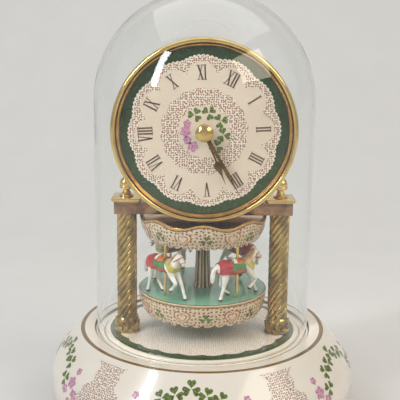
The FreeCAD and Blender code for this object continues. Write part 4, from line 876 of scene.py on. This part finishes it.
horse_white = enamel_finish("horse_white", "e3ded2", "f3efe6", 0.18)
WHITE, HOOF, MANE, EYE = range(4)
steed_paints = [horse_white, enamel_finish("hoof_brown", "4a2f1e", "5e3d26", 0.3),
                enamel_finish("mane_tan", "b08a62", "d0b08a", 0.3),
                enamel_finish("eye_black", "15100c", "1f1812", 0.15)]
RED, GREEN, ORANGE, YELLOW, PALE, HEM = range(6)
harness_paints = [
    enamel_finish("rump_red", "a8323a", "c04a4e"), enamel_finish("saddle_green", "3f7a48", "5b965e"),
    enamel_finish("saddle_orange", "c06a2e", "d98545"), enamel_finish("collar_yellow", "b9a83c", "d2c25c"),
    horse_white, enamel_finish("hem_red", "b2402a", "cf6239")]

FACE_RUN = Vector((0.56, 0, -0.83))
HEAD_ONLY = ((0.4, 0, 0.76), (-0.6, 0, -0.8))
HOOVES_AND_MANE = [  # paint, planes, rise and thickness: standing hooves, stepping one, raised one, mane
    (HOOF, [below(0.05)], 0.02, 0.25),
    (HOOF, [((-0.145, 0, 0.085), (0.4, 0, 1)), above(0.05), behind(0), ahead(-0.26)], 0.02, 0.25),
    (HOOF, [((0.25, 0, 0.195), (0.3, 0, 1)), ahead(0.15), behind(0.31)], 0.02, 0.25),
    (MANE, [((0.2, 0, 0.75), (-0.35, 0, -0.94)), ((0.45, 0, 0.93), (0.95, 0, 0.3)),
            ((0.30, 0, 0.814), (0.84, 0, -0.54))], 0.0, 0.7)]
HARNESS = [  # rump cover, saddle cloth, seat, cantle, girth, hem, breast collar, bridle, headstall
    (RED, [behind(-0.17), ahead(-0.47), above(0.57)], 0.05, 0.35),
    (GREEN, [behind(0.12), ahead(-0.185), above(0.56)], 0.10, 0.45),
    (ORANGE, [behind(0.075), ahead(-0.12), above(0.735)], 0.5, 0.9),
    (PALE, [behind(-0.105), ahead(-0.155), above(0.755)], 0.5, 1.5),
    (ORANGE, [behind(0.03), ahead(-0.03), below(0.575)], 0.05, 0.4),
    (HEM, [behind(0.14), ahead(-0.29), below(0.63), above(0.54)], 0.15, 0.6),
    (YELLOW, [((0.33, 0, 0.72), (0.75, 0, 0.66)), ((0.225, 0, 0.64), (-0.75, 0, -0.66)), above(0.585)],
     0.05, 0.4),
    (ORANGE, [((0.538, 0, 0.795), FACE_RUN), ((0.526, 0, 0.81), -FACE_RUN), HEAD_ONLY], 0.02, 0.3),
    (ORANGE, [((0.457, 0, 0.87), FACE_RUN), ((0.445, 0, 0.885), -FACE_RUN), HEAD_ONLY], 0.02, 0.3)]
covers, harness = [[(number, cloth(*cut)) for number, *cut in cuts] for cuts in (HOOVES_AND_MANE, HARNESS)]
ears, eyes = bmesh.new(), bmesh.new()
for sign in (-1, 1):
    bmesh.ops.create_cone(ears, cap_ends=True, segments=10, radius1=1.0, radius2=0.1, depth=2.0,
                          matrix=Matrix.Translation(Vector((0.415, 0.032 * sign, 0.985)) * HORSE * MM)
                          @ Matrix.Rotation(0.25, 4, "Y")
                          @ Matrix.Diagonal((*[size * HORSE * MM for size in (0.017, 0.013, 0.045)], 1)))
    bmesh.ops.create_uvsphere(eyes, u_segments=10, v_segments=8, radius=0.016 * HORSE * MM,
                              matrix=Matrix.Translation(Vector((0.48, 0.048 * sign, 0.89)) * HORSE * MM))
steed = gather([(WHITE, horse), *covers, (WHITE, ears), (EYE, eyes)])
trappings = gather(harness)
for name, (bearing, heading) in HORSES.items():
    stand = (Matrix.Translation(spot_round(HORSE_RING, radians(bearing), PLATFORM_TOP + HORSE_LIFT))
             @ Matrix.Rotation(radians(heading), 4, "Z"))
    set_in(steed.copy(), f"{name}_steed", steed_paints, "carousel", [f"{name}_horse"],
           stand, 50)
    set_in(trappings.copy(), f"{name}_trappings", harness_paints, "carousel", (), stand, 50)
steed.free()
trappings.free()

# Clock head: a spun brass bezel round a porcelain dial, set in a pan with the drum behind it. The dial stands
# 27 degrees clockwise, as found. Lace runs round its edge and its middle on a dark green ground.
HEAD_TALL, HEAD_TILT, BEZEL_R, SIGHT_R, BEZEL_FRONT, DIAL_FRONT = 190.3, -27.0, 56.0, 50.4, 36.0, 31.0
BEZEL_BACK, BEZEL_SEAT, BEAD_IN, GROOVE_END = 24.0, BEZEL_R - 1.2, BEZEL_R - 2.9, BEZEL_R - 3.6
RIM_LACE, LACE_EDGE, RING_IN, RING_OUT = 42.0, 43.4, 16.6, 25.2
DIAL_LOBES, LOBE_DEEP, FAN_DEEP = 6, 1.9, 6.5
DIAL_PICOTS, RING_IN_LOBES, RING_OUT_LOBES = (54, 0.9), (8, 1.2), (8, 1.4)
in_head = (Matrix.Translation((0, 0, HEAD_TALL * MM)) @ Matrix.Rotation(radians(90), 4, "X")
           @ Matrix.Rotation(radians(HEAD_TILT), 4, "Z"))
bezel = turned([(BEZEL_SEAT, BEZEL_BACK, 0), (BEZEL_R, BEZEL_BACK + 1.2, 0.4),
                (BEZEL_R, BEZEL_FRONT - 1.0, 2.2), (BEZEL_R - 2.4, BEZEL_FRONT, 1.2),
                (BEZEL_R - 3.0, BEZEL_FRONT - 1.8, 0.2), (BEZEL_R - 3.5, BEZEL_FRONT - 1.8, 0.2),
                (BEZEL_R - 3.8, BEZEL_FRONT - 1.2, 0.3), (SIGHT_R + 0.4, DIAL_FRONT + 1.6, 0.6),
                (SIGHT_R, DIAL_FRONT + 0.1, 0), (BEZEL_SEAT, DIAL_FRONT + 0.1, 0),
                (BEZEL_SEAT, BEZEL_BACK, 0)], 160)
for face in bezel.faces:
    middle = face.calc_center_median() / MM
    reach = hypot(middle.x, middle.y)
    face.material_index = 0 if reach > BEAD_IN else 1 if reach > GROOVE_END else 2
groove_brown = metal_finish("groove_brown", "5a3d22", "40290f", 0.3, 0.45)
inner_brass = metal_finish("inner_brass", "e3b76c", "c4924c", 0.10, 0.2)
set_in(bezel, "spun_bezel", [polished_brass, groove_brown, inner_brass], "clock_head",
       ["bezel"], in_head)


def dial_finish():
    material, shader, place = start_finish("lace_dial", Coat_Weight=0.1, Coat_Roughness=0.05)
    x, _, z = split(place)
    turn, reach = use_group(round_about, Across=x, Up=z - HEAD_TALL).values()
    turn = turn + HEAD_TILT / 360
    lobe = lobes(turn, DIAL_LOBES, wave="COSINE")
    cloud, ripple, gloss = use_group(fired_glaze, Place=place).values()
    hole = use_group(needle_lace, Place=flat_place(x, z), Mesh=LACE_MESH)["Hole"]
    edge = lobe * LOBE_DEEP + LACE_EDGE + lobes(turn, *DIAL_PICOTS)
    fan = (1.0 - lobe) ** 1.4 * FAN_DEEP
    rim_lace = soft_step(reach - (RIM_LACE - fan), -0.5, 0.5)
    ring = (soft_step(reach + lobes(turn, *RING_IN_LOBES) - RING_IN, -0.3, 0.3)
            * soft_step(reach - lobes(turn, *RING_OUT_LOBES) - RING_OUT, 0.4, -0.4))
    lace = calc("MAXIMUM", rim_lace, ring)
    colour = mixed(cloud, paint("eadcc8"), paint("e0cdb6"))
    colour = mixed(lace, colour, mixed(hole, paint("efe2d0"), paint("9a6c52")))
    colour = mixed(ring_mask(edge - reach, 0.3, 0.3), colour, paint("f0e4d3"))
    green = mixed(ripple, paint("20361a"), paint("35501f"))
    set_sockets(shader, Base_Color=mixed(soft_step(reach - edge, 0.0, 0.25), colour, green),
                Roughness=lace * 0.15 + gloss, Normal=bumped(lace * hole * -1.0, 0.0001, 0.5))
    return material


DIAL_EDGE, DIAL_BACK, DIAL_HOLE = BEZEL_R - 1.3, DIAL_FRONT - 2, 3.5
set_in(turned([(DIAL_HOLE, DIAL_BACK, 0), (DIAL_EDGE, DIAL_BACK, 0), (DIAL_EDGE, DIAL_FRONT, 0),
               (DIAL_HOLE, DIAL_FRONT, 0), (DIAL_HOLE, DIAL_BACK, 0)], 160),
       "lace_dial", dial_finish(), "clock_head", ["dial"], in_head)

# Numerals and the wreath on the dial: fired transfers, thin ink on the glaze.
# The numerals stand with their feet to the centre, and the wreath lies inside the ring of lace.
NUMERALS = ["XII", "I", "II", "III", "IIII", "V", "VI", "VII", "VIII", "IX", "X", "XI"]
NUMERAL_TALL, NUMERAL_RING, INK_THICK, INK_GAP = 8.6, 35.6, 0.12, 0.03
WIDTHS = {"I": 1.75, "V": 4.0, "X": 4.0}
THICK_STROKE, THIN_STROKE, STROKE_INSET, SERIF, SERIF_STROKE = 0.85, 0.42, 0.75, 1.9, 0.3
WREATH_R, WREATH_LEAVES, WREATH_START, WREATH_STEP = 11.6, 5, -84, 43
BLOSSOM_R, BLOSSOMS, BLOSSOM_START, BLOSSOM_STEP = 11.4, 4, 163, 26


def stroke(made, place, start, end, width):
    """A flat ink bar from one point to another on a numeral."""
    run = Vector(end) - Vector(start)
    middle = (Vector(start) + Vector(end)) / 2
    bar = (place @ Matrix.Translation((middle.x * MM, middle.y * MM, INK_THICK / 2 * MM))
           @ Matrix.Rotation(atan2(run.y, run.x), 4, "Z")
           @ Matrix.Diagonal((run.length * MM, width * MM, INK_THICK * MM, 1)))
    bmesh.ops.create_cube(made, size=1.0, matrix=bar)


def letter(made, place, sign, left):
    """One roman letter from its strokes and serifs, its left edge and its middle height given."""
    top, low, wide = NUMERAL_TALL / 2, -NUMERAL_TALL / 2, WIDTHS[sign]
    near, middle, far = left + STROKE_INSET, left + wide / 2, left + wide - STROKE_INSET
    if sign == "I":
        strokes = [((middle, low), (middle, top), THICK_STROKE)]
        feet = [(middle, top), (middle, low)]
    elif sign == "V":
        strokes = [((near, top), (middle, low), THICK_STROKE), ((far, top), (middle, low), THIN_STROKE)]
        feet = [(near, top), (far, top)]
    else:
        strokes = [((near, top), (far, low), THICK_STROKE), ((far, top), (near, low), THIN_STROKE)]
        feet = [(near, top), (far, top), (near, low), (far, low)]
    for start, end, width in strokes:
        stroke(made, place, start, end, width)
    for across, level in feet:
        stroke(made, place, (across - SERIF / 2, level), (across + SERIF / 2, level), SERIF_STROKE)


numerals = bmesh.new()
for hour, numeral in enumerate(NUMERALS):
    place = (in_head @ Matrix.Rotation(radians(-30 * hour), 4, "Z")
             @ Matrix.Translation((0, NUMERAL_RING * MM, (DIAL_FRONT + INK_GAP) * MM)))
    left = -sum(WIDTHS[sign] for sign in numeral) / 2
    for sign in numeral:
        letter(numerals, place, sign, left)
        left += WIDTHS[sign]
set_in(numerals, "dial_numerals", print_finish("numeral_ink", "4d3425", "6a4a36", 0.35), "clock_head")


def on_dial(right, up):
    return in_head @ Vector((right * MM, up * MM, (DIAL_FRONT + PRINT_LIFT) * MM))


wreath, wreath_blossoms = bmesh.new(), bmesh.new()
for number in range(WREATH_LEAVES):
    swing = radians(WREATH_START + WREATH_STEP * number - HEAD_TILT)
    trefoil(wreath, on_dial, (WREATH_R * sin(swing), WREATH_R * cos(swing)), 2.4, 25 * number)
for number in range(BLOSSOMS):
    swing = radians(BLOSSOM_START + BLOSSOM_STEP * number - HEAD_TILT)
    motif(wreath_blossoms, blossom, on_dial, (BLOSSOM_R * sin(swing), BLOSSOM_R * cos(swing)),
          3.6 - 0.8 * (number % 2), 40 * number)
set_in(wreath, "dial_leaf_print", leaf_ink, "clock_head")
set_in(wreath_blossoms, "dial_blossom_print", blossom_ink, "clock_head")

# Hands: stamped brass, antiqued dark, on round hubs.
# A domed brass cap holds them on the minute arbor.
hand_brass = metal_finish("antique_brass", "8a6838", "5a4022", 0.24, 0.42)
HAND_THICK, HUB_R, HUB_LOW, HUB_TOP, CAP_R, CAP_LOW, CAP_TOP = 0.5, 3.4, -0.05, 0.6, 5.4, 36.0, 40.2


def hand(outline, level, swing):
    """A pointed hand along its own +Y from half its outline, with a round hub."""
    half = rounded(outline)
    made = bmesh.new()
    spots = [made.verts.new((point.x * MM, point.y * MM, 0)) for point in half]
    spots += [made.verts.new((-point.x * MM, point.y * MM, 0)) for point in reversed(half[:-1])]
    raised = only_verts(bmesh.ops.extrude_face_region(made, geom=[made.faces.new(spots)]))
    bmesh.ops.translate(made, verts=raised, vec=(0, 0, HAND_THICK * MM))
    bmesh.ops.recalc_face_normals(made, faces=made.faces)
    hub = turned([(0, HUB_LOW, 0), (HUB_R, HUB_LOW, 0.1), (HUB_R, HUB_TOP, 0.15), (0, HUB_TOP, 0)], 40)
    whole = gather([(0, made), (0, hub)])
    bmesh.ops.transform(whole, verts=whole.verts, matrix=in_head @ Matrix.Rotation(radians(swing), 4, "Z")
                        @ Matrix.Translation((0, 0, level * MM)))
    return whole


HOUR_OUTLINE = [(1.0, 0, 0), (0.55, 17, 1), (0.6, 19.0, 0.5), (2.9, 22.0, 1.6), (1.3, 25.5, 2.0),
                (0.45, 28.5, 2.0), (0, 35.0, 0)]
MINUTE_OUTLINE = [(1.15, 0, 0), (0.95, 20, 2), (1.25, 29.0, 6.0), (0.35, 37.0, 6.0), (0, 47.0, 0)]
set_in(hand(HOUR_OUTLINE, DIAL_FRONT + 2.6, -130.25), "stamped_hour_hand", hand_brass, "hour_works",
       ["hour_hand"])
set_in(hand(MINUTE_OUTLINE, DIAL_FRONT + 4.4, -123.0), "stamped_minute_hand", hand_brass, "minute_works",
       ["minute_hand"])
set_in(turned([(0, CAP_LOW, 0), (CAP_R, CAP_LOW, 0.3), (CAP_R, CAP_LOW + 2.2, 1.4), (2.8, CAP_TOP, 3.0),
               (0, CAP_TOP, 0)], 64),
       "domed_cap", polished_brass, "minute_works", ["hand_cap"], in_head)

# Hidden works and plain turned or pressed parts: steel, brass, castings and mouldings.
# These keep their shapes and get their own finishes.
KEPT = [
    (metal_finish("brushed_steel", "b4b7bb", "a3a6ab", 0.28, 0.42),
     ["base_plate", "tie_rods", "rod_nuts", "bracket_screws", "spindle", "movement_screws", "mainspring",
      "winding_arbor", "comb", "cylinder_arbor", "winding_key", "minute_arbor"]),
    (metal_finish("train_brass", "cfa85a", "a8813d", 0.25, 0.4),
     ["spindle_gear", "drive_wheel", "spring_barrel", "music_cylinder", "cylinder_wheel", "barrel_bridge",
      "cylinder_cocks", "governor_fan", "platform_hub", "canopy_nut", "dial_nut"]),
    (polished_brass, ["beam_bush", "deck_bush", "clock_bracket", "horse_poles"]),
    (metal_finish("gilt_shell", "cfa85f", "c19a52", 0.22, 0.34), ["dial_pan", "movement_can", "back_cover"]),
    (enamel_finish("black_case", "141414", "202020", 0.45),
     ["movement_case", "hour_wheel", "motion_wheel", "set_knob"]),
    (metal_finish("bed_casting", "8d8f92", "6d6f72", 0.4, 0.55), ["movement_bedplate", "comb_base"]),
    (enamel_finish("cell_wrap", "2f4f7a", "3c639a", 0.3), ["battery"]),
    (enamel_finish("pad_rubber", "23211f", "2f2c29", 0.7), ["foot_pads"]),
]
for finish, node_names in KEPT:
    for node_name in node_names:
        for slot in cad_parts[node_name].material_slots:
            slot.material = finish

# Glass dome: blown soda glass, 2 mm thick and open below.
# It stands loose in the groove of the base and lifts off.
DOME_R, DOME_WALL, DOME_LOW, DOME_TOP, DOME_LIP = 70.0, 2.0, 53.85, 275.1, 0.8
DOME_IN, DOME_CEILING = DOME_R - DOME_WALL, DOME_TOP - DOME_WALL


def glass_finish():
    material, shader, place = start_finish("dome_glass", Roughness=0.0, IOR=1.46, Transmission_Weight=1.0)
    ripple = noise(place, 0.03, Detail=1.0)
    set_sockets(shader, Base_Color=mixed(ripple, (0.97, 0.99, 0.98, 1), (1, 1, 1, 1)),
                Normal=bumped(ripple, 0.0004, 0.3))
    nodes = material.node_tree.nodes
    either = nodes.new("ShaderNodeMixShader")
    feed(either.inputs[0], Value(nodes.new("ShaderNodeLightPath").outputs["Is Shadow Ray"]))
    feed(either.inputs[1], Value(shader.outputs[0]))
    feed(either.inputs[2], Value(nodes.new("ShaderNodeBsdfTransparent").outputs[0]))
    set_sockets(nodes["Material Output"], Surface=Value(either.outputs[0]))
    return material


set_in(turned([(0, DOME_TOP, 0), (DOME_R, DOME_TOP, DOME_R), (DOME_R, DOME_LOW, DOME_LIP),
               (DOME_IN, DOME_LOW, DOME_LIP), (DOME_IN, DOME_CEILING, DOME_IN), (0, DOME_CEILING, 0)], 160),
       "blown_dome", glass_finish(), "dome", ["glass_dome"])
